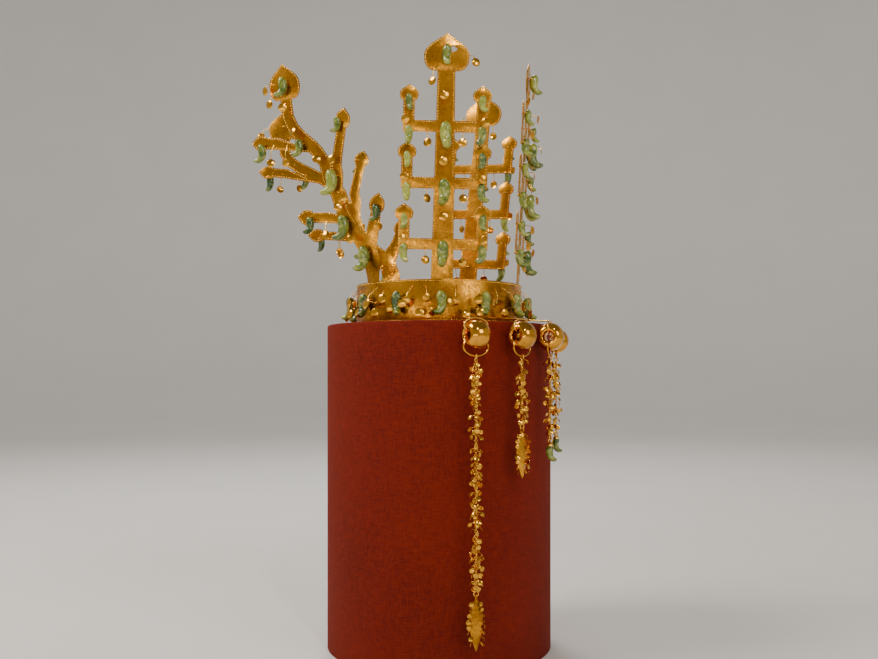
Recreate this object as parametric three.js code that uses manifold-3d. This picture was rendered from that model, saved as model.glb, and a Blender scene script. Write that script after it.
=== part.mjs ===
// A gold crown of the tree and antler kind, resting on a plain drum stand.
// A headband of sheet gold carries three tree-shaped uprights in front and at the sides and two
// antler-shaped uprights behind. Comma-shaped jades hang all over it, and six pendants, each a fat
// hollow ring, a thin ring, a spangled chain and an end drop, hang from wires over the stand's rim.
// Millimetres, +Z up. The origin is the middle of the stand's foot, and the crown's front faces -Y.

import * as THREE from 'three';
import { mergeVertices } from 'three/addons/utils/BufferGeometryUtils.js';
import Module from 'manifold-3d';

const wasm = await Module();
wasm.setup();

// Driving sizes

const GAP = 0.3;
const SHEET = 1;

const STAND = { radius: 119, height: 340, chamfer: 1.5, sides: 44 };
const BAND = { radius: 88, wall: 1.2, height: 42, sides: 48 };
BAND.bottom = STAND.height + GAP;
BAND.top = BAND.bottom + BAND.height;

// Every upright stands on a foot inside the headband and bends outwards just above its top edge.
const FOOT = { down: 35, overlap: 2, clear: 1 };
const BEND = BAND.top + 1;

// A tree upright: bar centres and arm centres are measured from the bend and the middle line.
const TREE = {
  footWidth: 22,
  neckWidth: 17.2,
  neck: 198,
  bar: 11,
  arm: 11.2,
  armRise: 39,
  bud: { width: 18.5, height: 15 },
  topBud: { width: 44, height: 35.5 },
};
const TREE_TIERS = [
  { bar: 33, reach: 38.4 },
  { bar: 92, reach: 36.5 },
  { bar: 146, reach: 35.4 },
];

// The tree on the wearer's right has a small worn hole through its top bud.
const WORN_HOLE = { across: 6.5, up: 218.5, radius: 3 };

// An antler upright is a set of tapered strips, each ending in a bud. Across runs towards the back.
const ANTLER = { footWidth: 20, twistEnd: 30, lap: 8, fork: 106, opened: 156 };
const ANTLER_STRIPS = [
  {
    name: 'stem', steps: 6, widths: [20, 17, 14, 13],
    across: [1, 2, 8, 19, 27, 33, 36, 38], up: [22, 28, 38, 51, 64, 79, 92, 106],
  },
  {
    name: 'front_low', steps: 2, widths: [16, 12.5, 10.5], bud: { width: 17, height: 19 },
    across: [4, -1, -4.5, -7], up: [36, 49, 60, 70],
  },
  {
    name: 'back_low', steps: 1, widths: [11, 10.5], bud: { width: 16, height: 18 },
    across: [32, 46, 59, 64], up: [66, 66.5, 67, 67.5],
  },
  {
    name: 'front_high', steps: 2, widths: [13, 11, 10.5], bud: { width: 17, height: 19 }, crown: true,
    across: [38, 34, 29.5, 25.5], up: [102, 119, 137, 156],
  },
  {
    name: 'top', steps: 6, widths: [14, 14, 13.5, 13], bud: { width: 35, height: 36 }, crown: true,
    across: [37, 45, 57, 70, 80, 85, 86], up: [100, 120, 136, 148, 159, 170, 188],
  },
  {
    name: 'back_high', steps: 1, widths: [13, 11.5], bud: { width: 16, height: 18 },
    across: [66, 84, 100, 112], up: [143, 144, 145, 146],
  },
];

// Where each upright stands: angle from the front, outward lean and sideways roll in degrees, and for
// an antler the way it faces and how far its strips are opened out, and at most above its fork.
const UPRIGHTS = [
  { name: 'tree_front', kind: 'tree', angle: 0, lean: 3, roll: 0 },
  { name: 'tree_right', kind: 'tree', angle: -78, lean: 6.5, roll: 1, worn: true },
  { name: 'tree_left', kind: 'tree', angle: 78, lean: 6.5, roll: -3.5 },
  {
    name: 'antler_right', kind: 'antler', angle: -132, lean: 8, roll: 0,
    face: -100, side: -1, spread: 1, topSpread: 1,
  },
  {
    name: 'antler_left', kind: 'antler', angle: 140, lean: 13, roll: 0,
    face: 100, side: 1, spread: 1.25, topSpread: 1.5,
  },
];

// Comma jades: a bent, tapering stone whose head hangs against the gold and whose tail curls outwards.
// Its sizes are shares of its length: the hole is that far along it, and the head's top that far above.
const STONE = {
  from: 110, to: 298, high: 0.35, deep: 0.27, head: 0.235, tail: 0.15, thick: 1, hole: 0.2, top: 0.14,
};
const MAIN_STONE = { sides: 6, rings: 5, hole: 1.2 };
const SMALL_STONE = { sides: 5, rings: 4, bite: 0.6 };
const STAPLE = { wire: 1, slack: 1, neck: 0.8 };
const TREE_STONES = { top: 24, crossing: 31, bud: 19, barEnd: 22 };
const TREE_STONE_DROP = { top: 17, crossing: 3, bud: 13.8, barEnd: 4.5 };
const ANTLER_MAIN_STONES = [
  { name: 'low', across: 6, up: 30, length: 30 },
  { name: 'middle', across: 27, up: 62, length: 30 },
  { name: 'high', across: 37, up: 108, length: 31 },
  { name: 'top', across: 86, up: 205, length: 24, crown: true },
];
const ANTLER_SMALL_STONES = [
  { across: -9, up: 73, length: 20 },
  { across: 66, up: 64, length: 21, byHead: true },
  { across: 28, up: 162, length: 19, crown: true },
  { across: 72, up: 143, length: 22, crown: true },
  { across: 116, up: 141, length: 23, byHead: true },
];
const BAND_STONES = { count: 13, first: 4.5, up: 24, length: 28 };

// Six pendants, three on each side of the front, hang clear of the stand's side. Their rings are turned
// on the wire by a yaw, towards the front if it is positive.
const PENDANTS = [
  { name: 'outer', angle: 65, yaw: 19, chain: 218, clusters: 14, drop: 'leaf', length: 49 },
  { name: 'middle', angle: 43.5, yaw: 16, chain: 62, clusters: 5, drop: 'leaf', length: 45 },
  { name: 'inner', angle: 24.5, yaw: 18, chain: 75, clusters: 6, drop: 'jade', length: 20 },
];
const FAT_RING = { radius: 14, hole: 4, widest: 6.8, halfWidth: 11, sides: 14, section: 8 };
const HOOK = {
  wire: 0.8, clear: 0.9, loopAcross: 13.8, hole: 1.3, holeUp: 4.2, knob: 2, knobLength: 2,
};
const THIN_RING = { wire: 0.9, clear: 0.9, across: 14.4, down: 20 };
const CHAIN = { wire: 0.6, loop: 2.3, around: 8, core: 1.2, cluster: 7, sides: 6 };
const LEAF = { width: 13, waist: 0.45 };
const JADE_CAP = { radius: 3.4, height: 3.4, bite: 1 };

const PENDANT_RADIUS = STAND.radius + FAT_RING.radius + 1;
const tubeMiddle = (FAT_RING.radius + FAT_RING.hole) / 2;
const tubeHalf = (FAT_RING.radius - FAT_RING.hole) / 2;
const hookLoopHigh = tubeHalf + HOOK.clear + HOOK.wire;
const RING_CENTRE = STAND.height - FAT_RING.radius - GAP;

const GOLD = new THREE.MeshStandardMaterial({ color: 0xd69a2d, roughness: 0.25, metalness: 1 });
const JADE = new THREE.MeshStandardMaterial({ color: 0xa9c49a, roughness: 0.35, metalness: 0 });
const CLOTH = new THREE.MeshStandardMaterial({ color: 0x5e1a10, roughness: 0.9, metalness: 0 });

// Solids and placing

const radians = THREE.MathUtils.degToRad;
const lerp = THREE.MathUtils.lerp;

function solidOf(geometry) {
  const bare = geometry.clone();
  for (const name of Object.keys(bare.attributes)) {
    if (name !== 'position') bare.deleteAttribute(name);
  }
  const merged = mergeVertices(bare, 1e-4);
  return new wasm.Manifold(new wasm.Mesh({
    numProp: 3,
    vertProperties: merged.attributes.position.array,
    triVerts: new Uint32Array(merged.index.array),
  }));
}

function geometryOf(solid) {
  const { vertProperties, triVerts } = solid.getMesh();
  const geometry = new THREE.BufferGeometry();
  geometry.setAttribute('position', new THREE.BufferAttribute(vertProperties, 3));
  geometry.setIndex(new THREE.BufferAttribute(triVerts, 1));
  geometry.computeVertexNormals();
  return geometry;
}

const fuse = (...pieces) => geometryOf(
  pieces.map(solidOf).reduce((whole, piece) => whole.add(piece)),
);
const cut = (piece, ...tools) => geometryOf(
  tools.map(solidOf).reduce((whole, tool) => whole.subtract(tool), solidOf(piece)),
);

function named(name, geometry, material) {
  const mesh = new THREE.Mesh(geometry, material);
  mesh.name = name;
  return mesh;
}

// A group turned to an angle from the front: its +X runs round the crown and its -Y points outwards.
function aroundCrown(angle) {
  const group = new THREE.Group();
  group.rotation.z = radians(angle);
  return group;
}

// Moves each vertex of a geometry to the place that a function gives for it.
function reshape(geometry, place) {
  const position = geometry.attributes.position;
  const point = new THREE.Vector3();
  for (let i = 0; i < position.count; i += 1) {
    point.fromBufferAttribute(position, i);
    place(point);
    position.setXYZ(i, point.x, point.y, point.z);
  }
  return geometry;
}

// A closed ring of round wire in the XY plane, oval if its two half sizes differ.
function wireRing(across, high, wire, around = 12, sides = 5) {
  const ring = new THREE.TorusGeometry(1, 0.5, sides, around);
  return reshape(ring, (point) => {
    const turn = Math.atan2(point.y, point.x);
    const out = (Math.hypot(point.x, point.y) - 1) * 2 * wire;
    const normal = new THREE.Vector2(high * Math.cos(turn), across * Math.sin(turn)).normalize();
    const x = across * Math.cos(turn) + out * normal.x;
    const y = high * Math.sin(turn) + out * normal.y;
    point.set(x, y, point.z * 2 * wire);
  });
}

// A solid turned about the Z axis from [radius, height] pairs.
function turned(pairs, sides) {
  const lathe = new THREE.LatheGeometry(pairs.map(([r, z]) => new THREE.Vector2(r, z)), sides);
  return lathe.rotateX(Math.PI / 2);
}

// A sheet of gold cut to an outline, its mid plane in XY.
function sheet(shape) {
  const geometry = new THREE.ExtrudeGeometry(shape, {
    depth: SHEET, bevelEnabled: false, curveSegments: 5,
  });
  return geometry.translate(0, 0, -SHEET / 2);
}

// Stand and headband

function stand() {
  const { radius, height, chamfer, sides } = STAND;
  return turned([
    [0, 0], [radius, 0], [radius, height - chamfer], [radius - chamfer, height], [0, height],
  ], sides);
}

function bandRing() {
  const inside = BAND.radius - BAND.wall;
  return turned([
    [inside, BAND.bottom], [BAND.radius, BAND.bottom], [BAND.radius, BAND.top],
    [inside, BAND.top], [inside, BAND.bottom],
  ], BAND.sides);
}

function hookHole(angle) {
  const drill = new THREE.CylinderGeometry(HOOK.hole, HOOK.hole, 8, 6);
  drill.translate(0, -BAND.radius, BAND.bottom + HOOK.holeUp);
  return drill.rotateZ(radians(angle));
}

function headband() {
  const stones = [];
  for (let i = 0; i < BAND_STONES.count; i += 1) {
    const stone = commaStone(BAND_STONES.length, SMALL_STONE);
    const out = BAND.radius - SMALL_STONE.bite + stoneBack(stone);
    stone.rotateX(Math.PI / 2);
    stone.translate(0, -out, BAND.bottom + BAND_STONES.up);
    stones.push(stone.rotateZ(radians(BAND_STONES.first + (360 * i) / BAND_STONES.count)));
  }
  const holes = [-1, 1].flatMap((side) => PENDANTS.map(({ angle }) => hookHole(side * angle)));
  return cut(fuse(bandRing(), ...stones), ...holes);
}

// Comma jades

// The section of a stone at a share of its length: its middle, the way out of its curl, its half width.
function stoneSection(length, share) {
  const turn = radians(lerp(STONE.from, STONE.to, share));
  const [high, deep] = [STONE.high * length, STONE.deep * length];
  const middle = new THREE.Vector2(deep * Math.cos(turn), high * Math.sin(turn));
  const out = new THREE.Vector2(high * Math.cos(turn), deep * Math.sin(turn)).normalize();
  const plump = Math.pow(Math.sin(Math.PI * share), 0.6) * lerp(STONE.head, STONE.tail, share) * length;
  return { middle, out, plump };
}

// A ball drawn out along a curl in the YZ plane, its hole at the origin and its tail towards +Z.
function commaStone(length, { sides, rings }) {
  const { middle: hole } = stoneSection(length, STONE.hole);
  return reshape(new THREE.SphereGeometry(1, sides, rings), (point) => {
    const share = Math.acos(THREE.MathUtils.clamp(point.y, -1, 1)) / Math.PI;
    const { middle, out, plump } = stoneSection(length, share);
    const ring = Math.max(Math.hypot(point.x, point.z), 1e-6);
    const flat = middle.sub(hole).addScaledVector(out, (-point.z / ring) * plump);
    point.set((point.x / ring) * plump * STONE.thick, flat.y, flat.x);
  });
}

// How far the back of a stone lies behind its hole.
function stoneBack(stone) {
  stone.computeBoundingBox();
  return -stone.boundingBox.min.z;
}

// A small stone fused to the sheet by its back or, where only its head lies on the sheet, by that.
function smallStone(length, across, up, byHead = false) {
  const stone = commaStone(length, SMALL_STONE);
  const back = byHead ? stoneSection(length, STONE.hole).plump * 0.8 : stoneBack(stone);
  return stone.translate(across, up, SHEET / 2 - SMALL_STONE.bite + back);
}

const mainStoneOut = (length) => SHEET / 2 + GAP + stoneBack(commaStone(length, MAIN_STONE));

function mainStone(length) {
  const stone = commaStone(length, MAIN_STONE);
  const drill = new THREE.CylinderGeometry(MAIN_STONE.hole, MAIN_STONE.hole, length, 6);
  return cut(stone, drill.rotateZ(Math.PI / 2)).translate(0, 0, mainStoneOut(length));
}

// The wire staple that holds a main stone: two legs out of the sheet and a bar through the stone.
function staple(length, across, up) {
  const { wire, slack, neck } = STAPLE;
  const leg = neck * STONE.head * STONE.thick * length + slack;
  const out = mainStoneOut(length);
  const corner = (x, y) => new THREE.Vector2(x, y);
  const shape = new THREE.Shape([
    corner(-leg - wire, 0), corner(-leg - wire, out + wire / 2), corner(leg + wire, out + wire / 2),
    corner(leg + wire, 0), corner(leg, 0), corner(leg, out - wire / 2),
    corner(-leg, out - wire / 2), corner(-leg, 0),
  ]);
  const bent = new THREE.ExtrudeGeometry(shape, { depth: wire, bevelEnabled: false });
  return bent.rotateX(Math.PI / 2).translate(across, up + wire / 2, 0);
}

// Uprights

// Half of a bud's outline, from its neck to its tip, as points of an onion-shaped curve.
function budSide(half, width, height, pieces) {
  const curve = new THREE.CurvePath();
  const neck = new THREE.Vector2(half, 0);
  const shoulder = new THREE.Vector2(width / 2, height * 0.4);
  const tip = new THREE.Vector2(0, height);
  curve.add(new THREE.CubicBezierCurve(
    neck, new THREE.Vector2(width * 0.42, -height * 0.02),
    new THREE.Vector2(width / 2, height * 0.16), shoulder,
  ));
  curve.add(new THREE.CubicBezierCurve(
    shoulder, new THREE.Vector2(width / 2, height * 0.7),
    new THREE.Vector2(width * 0.14, height * 0.84), tip,
  ));
  return curve.getPoints(pieces);
}

const mirrored = (points) => points.map(({ x, y }) => new THREE.Vector2(-x, y)).reverse();
const moved = (points, x, y) => points.map((point) => new THREE.Vector2(point.x + x, point.y + y));

function treeOutline() {
  const stemHalf = (up) => lerp(TREE.footWidth, TREE.neckWidth, up / TREE.neck) / 2;
  const right = [new THREE.Vector2(stemHalf(0), 0)];
  for (const { bar, reach } of TREE_TIERS) {
    const [low, high] = [bar - TREE.bar / 2, bar + TREE.bar / 2];
    const armHalf = TREE.arm / 2;
    const budFoot = bar + TREE.armRise - TREE.bud.height;
    const bud = budSide(armHalf, TREE.bud.width, TREE.bud.height, 2);
    right.push(new THREE.Vector2(stemHalf(low), low), new THREE.Vector2(reach + armHalf, low));
    right.push(...moved([...bud, ...mirrored(bud).slice(1)], reach, budFoot));
    right.push(new THREE.Vector2(reach - armHalf, high), new THREE.Vector2(stemHalf(high), high));
  }
  const topBud = budSide(TREE.neckWidth / 2, TREE.topBud.width, TREE.topBud.height, 4);
  right.push(...moved(topBud, 0, TREE.neck));
  return new THREE.Shape([...right, ...mirrored(right).slice(1)]);
}

function treeSheet(worn) {
  const shape = treeOutline();
  if (worn) {
    const hole = new THREE.Path();
    hole.absellipse(WORN_HOLE.across, WORN_HOLE.up, WORN_HOLE.radius, WORN_HOLE.radius * 0.8);
    shape.holes.push(hole);
  }
  return sheet(shape);
}

// A tapered strip of sheet along a smooth line, with its bud at the far end.
function antlerStrip({ across, up, steps, widths, bud }, stretch) {
  const line = new THREE.SplineCurve(across.map((x, i) => new THREE.Vector2(x * stretch(up[i]), up[i])));
  const sides = [[], []];
  for (let i = 0; i <= steps; i += 1) {
    const share = i / steps;
    const centre = line.getPoint(share);
    const along = line.getTangent(share);
    const row = share * (widths.length - 1);
    const low = Math.min(Math.floor(row), widths.length - 2);
    const half = lerp(widths[low], widths[low + 1], row - low) / 2;
    const normal = new THREE.Vector2(-along.y, along.x).multiplyScalar(half);
    sides[0].push(centre.clone().sub(normal));
    sides[1].unshift(centre.clone().add(normal));
  }
  const pieces = [sheet(new THREE.Shape([...sides[0], ...sides[1]]))];
  if (bud) {
    const end = line.getPoint(1);
    const along = line.getTangent(1);
    const half = widths[widths.length - 1] / 2;
    const side = budSide(half, bud.width, bud.height, bud.width > 20 ? 4 : 2);
    const outline = sheet(new THREE.Shape([...side, ...mirrored(side).slice(1)]));
    outline.rotateZ(Math.atan2(along.y, along.x) - Math.PI / 2);
    pieces.push(outline.translate(end.x - along.x * 0.5, end.y - along.y * 0.5, 0));
  }
  return pieces;
}

const footRadius = (width) => Math.sqrt((BAND.radius - BAND.wall - FOOT.clear) ** 2 - (width / 2) ** 2);

// The foot inside the headband, turning into the sheet above the bend. Twist and lean start there.
function footStrip(width, radius, twist, lean, above) {
  const rows = twist ? 12 : 2;
  const strip = new THREE.BoxGeometry(width, FOOT.down + above, SHEET, 1, rows, 1);
  strip.translate(0, (above - FOOT.down) / 2, 0);
  return reshape(strip, (point) => {
    const rise = Math.max(point.y, 0);
    const drop = Math.min(point.y, 0);
    const turn = twist * THREE.MathUtils.smoothstep(rise, 0, ANTLER.twistEnd);
    const tilt = point.y > 0 ? lean : 0;
    const forward = rise * Math.sin(lean);
    const x = point.x * Math.cos(turn) + point.z * Math.cos(tilt) * Math.sin(turn);
    const y = point.x * Math.sin(turn) - point.z * Math.cos(tilt) * Math.cos(turn);
    point.set(
      x + forward * Math.sin(twist),
      y - radius - forward * Math.cos(twist),
      BEND + drop + rise * Math.cos(lean) - point.z * Math.sin(tilt),
    );
  });
}

const treeStones = () => TREE_TIERS.flatMap(({ bar, reach }) => [-1, 1].flatMap((side) => [
  smallStone(TREE_STONES.bud, side * reach, bar + TREE.armRise - TREE_STONE_DROP.bud),
  smallStone(TREE_STONES.barEnd, side * reach, bar - TREE_STONE_DROP.barEnd, true),
]));

const treeMainStones = () => [
  {
    name: 'top', across: 0, length: TREE_STONES.top,
    up: TREE.neck + TREE.topBud.height - TREE_STONE_DROP.top,
  },
  ...TREE_TIERS.map(({ bar }, i) => ({
    name: `tier${i + 1}`, across: 0, length: TREE_STONES.crossing,
    up: bar - TREE_STONE_DROP.crossing,
  })),
];

function upright({ name, kind, angle, lean, roll, face = angle, side, spread, topSpread, worn }) {
  const tree = kind === 'tree';
  const width = tree ? TREE.footWidth : ANTLER.footWidth;
  const radius = footRadius(width) - SHEET / 2;
  const twist = radians(face - angle);
  const place = new THREE.Group();
  place.position.set(0, -radius, BEND);
  place.rotation.set(Math.PI / 2 + radians(lean), 0, twist, 'ZXY');
  place.rotateZ(radians(-roll));
  place.updateMatrix();

  const opening = (up) => THREE.MathUtils.clamp((up - ANTLER.fork) / (ANTLER.opened - ANTLER.fork), 0, 1);
  const stretch = (row, up) => side * (row.crown ? lerp(spread, topSpread, opening(up)) : spread);
  const mains = tree ? treeMainStones() : ANTLER_MAIN_STONES.map((row) => (
    { ...row, across: stretch(row, row.up) * row.across }));
  const smalls = tree ? treeStones() : ANTLER_SMALL_STONES.map((row) => (
    smallStone(row.length, stretch(row, row.up) * row.across, row.up, row.byHead)));
  const sheets = tree ? [treeSheet(worn)] : ANTLER_STRIPS.flatMap((row) => (
    antlerStrip(row, (up) => stretch(row, up))));
  const flat = [...sheets, ...smalls, ...mains.map(({ length, across, up }) => (
    staple(length, across, up)))];
  const above = tree ? FOOT.overlap : ANTLER.twistEnd + ANTLER.lap;
  const foot = footStrip(width, radius, twist, radians(lean), above);

  const group = aroundCrown(angle);
  group.add(named(name, fuse(fuse(...flat).applyMatrix4(place.matrix), foot), GOLD));
  for (const stone of mains) {
    const mesh = named(`jade_${name}_${stone.name}`, mainStone(stone.length), JADE);
    mesh.position.set(stone.across, stone.up, 0);
    place.add(mesh);
  }
  return group.add(place);
}

// Pendants. Each is modelled with its rings' plane in XZ and the stand towards +Y.

// A headed wire through the headband's lower edge that ends in a loop round the fat ring's upper side.
function hook(yaw) {
  const loopMiddle = RING_CENTRE + tubeMiddle;
  const loop = wireRing(HOOK.loopAcross, hookLoopHigh, HOOK.wire);
  loop.rotateX(Math.PI / 2).rotateZ(yaw).translate(0, -PENDANT_RADIUS, loopMiddle);
  const outer = new THREE.Vector3(0, -PENDANT_RADIUS, loopMiddle + hookLoopHigh);
  const hole = new THREE.Vector3(0, -BAND.radius, BAND.bottom + HOOK.holeUp);
  const along = hole.clone().sub(outer).normalize();
  const inner = hole.clone().addScaledVector(along, BAND.wall + GAP + HOOK.knobLength / 2 + 0.2);
  const aim = new THREE.Quaternion().setFromUnitVectors(new THREE.Vector3(0, 1, 0), along);
  const length = inner.distanceTo(outer);
  const wire = new THREE.CylinderGeometry(HOOK.wire, HOOK.wire, length, 6);
  wire.applyQuaternion(aim).translate(0, (inner.y + outer.y) / 2, (inner.z + outer.z) / 2);
  const knob = new THREE.CylinderGeometry(HOOK.knob, HOOK.knob, HOOK.knobLength, 6);
  knob.applyQuaternion(aim).translate(0, inner.y, inner.z);
  return fuse(loop, wire, knob);
}

// Swollen like a bead: its section is widest near the hole and runs out round to the rim.
function fatRing(yaw) {
  const { radius, hole, widest, halfWidth, section } = FAT_RING;
  const profile = [];
  for (let i = 0; i <= section; i += 1) {
    const turn = (2 * Math.PI * (i % section)) / section;
    const out = Math.cos(turn);
    profile.push([widest + out * (out > 0 ? radius - widest : widest - hole), halfWidth * Math.sin(turn)]);
  }
  return turned(profile, FAT_RING.sides)
    .rotateY(Math.PI / 2).rotateZ(yaw).translate(0, -PENDANT_RADIUS, RING_CENTRE);
}

function thinRing(yaw) {
  const top = -FAT_RING.hole + THIN_RING.clear + THIN_RING.wire;
  const high = (top + THIN_RING.down) / 2;
  return wireRing(THIN_RING.across, high, THIN_RING.wire)
    .rotateX(Math.PI / 2).rotateZ(yaw).translate(0, -PENDANT_RADIUS, RING_CENTRE + top - high);
}

const chainLoopTop = RING_CENTRE - THIN_RING.down + THIN_RING.wire + GAP + CHAIN.wire - CHAIN.loop;
const chainTop = chainLoopTop - CHAIN.loop;
const chainEnd = (length) => chainTop - length;
const endLoop = (length) => chainEnd(length) - CHAIN.loop;

// The chain with its tiers of spangles as one beaded cord between two wire loops.
function chain({ chain: length, clusters }) {
  const profile = [[0, chainTop + 0.3]];
  for (let i = 0; i < clusters; i += 1) {
    const step = length / clusters;
    const high = chainTop - i * step;
    profile.push([CHAIN.core, high - step * 0.12], [CHAIN.cluster, high - step * 0.7]);
  }
  profile.push([CHAIN.core, chainEnd(length)], [0, chainEnd(length) - 0.3]);
  const cord = turned(profile.reverse(), CHAIN.sides).translate(0, -PENDANT_RADIUS, 0);
  const upper = wireRing(CHAIN.loop, CHAIN.loop, CHAIN.wire, CHAIN.around).rotateY(Math.PI / 2);
  upper.rotateX(Math.PI / 2).translate(0, -PENDANT_RADIUS, chainLoopTop);
  const lower = wireRing(CHAIN.loop, CHAIN.loop, CHAIN.wire, CHAIN.around).rotateX(Math.PI / 2);
  lower.translate(0, -PENDANT_RADIUS, endLoop(length));
  return fuse(cord, upper, lower);
}

const bailMiddle = -2 * CHAIN.loop + 2 * CHAIN.wire + GAP;

function leafOutline(length) {
  const { width, waist } = LEAF;
  const shape = new THREE.Shape();
  shape.moveTo(0, -length);
  shape.quadraticCurveTo(width * 0.5, -length * 0.72, width / 2, -length * waist);
  shape.quadraticCurveTo(width / 2, -length * 0.12, 1.2, 0);
  shape.lineTo(-1.2, 0);
  shape.quadraticCurveTo(-width / 2, -length * 0.12, -width / 2, -length * waist);
  shape.quadraticCurveTo(-width * 0.5, -length * 0.72, 0, -length);
  return shape;
}

// An end drop in its own frame, which turns about the middle of the chain's last loop.
function drop({ drop: kind, length }) {
  const bail = wireRing(CHAIN.loop, CHAIN.loop, CHAIN.wire, CHAIN.around).rotateY(Math.PI / 2);
  bail.rotateX(Math.PI / 2).translate(0, 0, bailMiddle);
  const foot = bailMiddle - CHAIN.loop + 0.2;
  if (kind === 'leaf') {
    return fuse(bail, sheet(leafOutline(length)).rotateX(Math.PI / 2).translate(0, 0, foot));
  }
  const { radius, height, bite } = JADE_CAP;
  const cup = turned([
    [0, -height], [radius, -height], [radius * 0.85, -height * 0.3], [0.8, 0.4], [0, 0.4],
  ], 10).translate(0, 0, foot);
  const hole = foot - height + bite - STONE.top * length;
  const stone = commaStone(length, SMALL_STONE).rotateX(Math.PI / 2).translate(0, 0, hole);
  return fuse(bail, cup, stone);
}

function pendant(row, side) {
  const label = `${side < 0 ? 'right' : 'left'}_${row.name}`;
  const group = aroundCrown(side * row.angle);
  const yaw = radians(-side * row.yaw);
  group.add(named(`hook_${label}`, hook(yaw), GOLD));
  group.add(named(`fat_ring_${label}`, fatRing(yaw), GOLD));
  group.add(named(`thin_ring_${label}`, thinRing(yaw), GOLD));
  group.add(named(`chain_${label}`, chain(row), GOLD));
  const end = named(`drop_${label}`, drop(row), row.drop === 'leaf' ? GOLD : JADE);
  end.position.set(0, -PENDANT_RADIUS, endLoop(row.chain));
  return group.add(end);
}

// The whole object

const crown = new THREE.Group();
crown.add(named('stand', stand(), CLOTH), named('headband', headband(), GOLD));
for (const row of UPRIGHTS) crown.add(upright(row));
for (const side of [-1, 1]) {
  for (const row of PENDANTS) crown.add(pendant(row, side));
}

export default crown;
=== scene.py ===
# %% [markdown]
# # A gold crown of trees and antlers, on a red drum
# The crown is a band of sheet gold with five uprights, three cut like trees and two like antlers. Comma
# jades and gold spangles hang on wires all over it, and six pendants hang over the rim of its stand.
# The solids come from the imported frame. This lesson dresses them in the thin metal, wire, stone and
# cloth of the real thing, piece by piece, each in the place that its solid holds.

# %% Load the frame
import math
import random

import bmesh
import bpy
import numpy as np
from mathutils import Matrix, Vector


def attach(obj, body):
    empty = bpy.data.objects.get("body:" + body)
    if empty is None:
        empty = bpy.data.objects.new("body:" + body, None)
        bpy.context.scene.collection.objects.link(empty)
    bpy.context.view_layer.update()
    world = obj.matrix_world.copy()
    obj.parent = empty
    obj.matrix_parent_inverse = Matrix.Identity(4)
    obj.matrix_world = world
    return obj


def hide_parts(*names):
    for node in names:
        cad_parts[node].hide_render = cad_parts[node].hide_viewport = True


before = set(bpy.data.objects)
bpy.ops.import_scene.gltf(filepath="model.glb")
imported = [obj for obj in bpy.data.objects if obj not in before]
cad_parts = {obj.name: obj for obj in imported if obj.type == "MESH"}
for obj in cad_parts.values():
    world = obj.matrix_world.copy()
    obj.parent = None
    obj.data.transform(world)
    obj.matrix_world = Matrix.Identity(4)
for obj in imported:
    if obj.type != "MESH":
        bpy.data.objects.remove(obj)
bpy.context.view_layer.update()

# %% [markdown]
# ## The camera
# The picture was taken level with the crown's foot, almost square to the wearer's right side and a
# little to the front, from about a metre away. A level camera keeps the drum's sides upright, so the
# frame is raised with a small lens shift and the camera isn't tilted.

# %% Camera
camera_data = bpy.data.cameras.new("camera")
camera_data.sensor_width = 36
camera_data.lens = 38.95
camera_data.shift_y = 0.0518
camera = bpy.data.objects.new("camera", camera_data)
camera.location = (-1.0045, -0.1771, 0.2878)
camera.rotation_euler = (math.radians(90), 0, math.radians(-80))
bpy.context.scene.collection.objects.link(camera)
bpy.context.scene.camera = camera
print("camera at", tuple(camera.location))

# %% [markdown]
# ## Helpers for modelling
# Operators work on whatever is selected, so each step first clears the selection and then picks its
# piece. Small parts are modelled in millimetres, which keeps the numbers easy to read, and one matrix
# at the end brings them to metres and to their place.

# %% Selecting
def clear_selection():
    """Leave edit mode and deselect everything."""
    if bpy.context.object and bpy.context.object.mode != "OBJECT":
        bpy.ops.object.mode_set(mode="OBJECT")
    bpy.ops.object.select_all(action="DESELECT")


def pick(piece):
    """Select one piece alone and make it active."""
    clear_selection()
    piece.select_set(True)
    bpy.context.view_layer.objects.active = piece


def named(name):
    """Give the primitive that was just added its name."""
    piece = bpy.context.object
    piece.name = name
    piece.data.name = name
    return piece


def finish_with(piece, kind, **settings):
    """Add a modifier, set it and apply it."""
    pick(piece)
    modifier = piece.modifiers.new(kind.lower(), kind)
    for key, value in settings.items():
        setattr(modifier, key, value)
    bpy.ops.object.modifier_apply(modifier=modifier.name)


# %% Finishing a piece
METRES = Matrix.Scale(0.001, 4)


def settle(piece, matrix=METRES):
    """Bring a piece to its place, with the place in its mesh and the object at the origin."""
    pick(piece)
    piece.matrix_world = matrix @ piece.matrix_world
    bpy.ops.object.transform_apply(location=True, rotation=True, scale=True)
    return piece


def close_up(piece):
    """Merge doubled points and turn all faces outwards."""
    pick(piece)
    bpy.ops.object.mode_set(mode="EDIT")
    bpy.ops.mesh.select_all(action="SELECT")
    bpy.ops.mesh.remove_doubles(threshold=0.001)
    bpy.ops.mesh.normals_make_consistent(inside=False)
    bpy.ops.object.mode_set(mode="OBJECT")
    return piece


def soften(piece, degrees=40):
    """Shade a piece smooth except over edges sharper than the angle."""
    pick(piece)
    bpy.ops.object.shade_smooth_by_angle(angle=math.radians(degrees))
    return piece


# %% Copies of a master
def strew(master, name, places):
    """One piece that holds a copy of the master's mesh at each place."""
    corners = np.array([list(v.co) + [1.0] for v in master.data.vertices])
    rings = [list(face.vertices) for face in master.data.polygons]
    points = np.concatenate([(np.array(place) @ corners.T).T[:, :3] for place in places])
    faces = [[i + k * len(corners) for i in ring] for k in range(len(places)) for ring in rings]
    mesh = bpy.data.meshes.new(name)
    mesh.from_pydata(points.tolist(), [], faces)
    mesh.shade_smooth()
    piece = bpy.data.objects.new(name, mesh)
    bpy.context.scene.collection.objects.link(piece)
    return piece


def put_away(*masters):
    """Remove the masters once their copies are made."""
    for master in masters:
        bpy.data.objects.remove(master)


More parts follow.
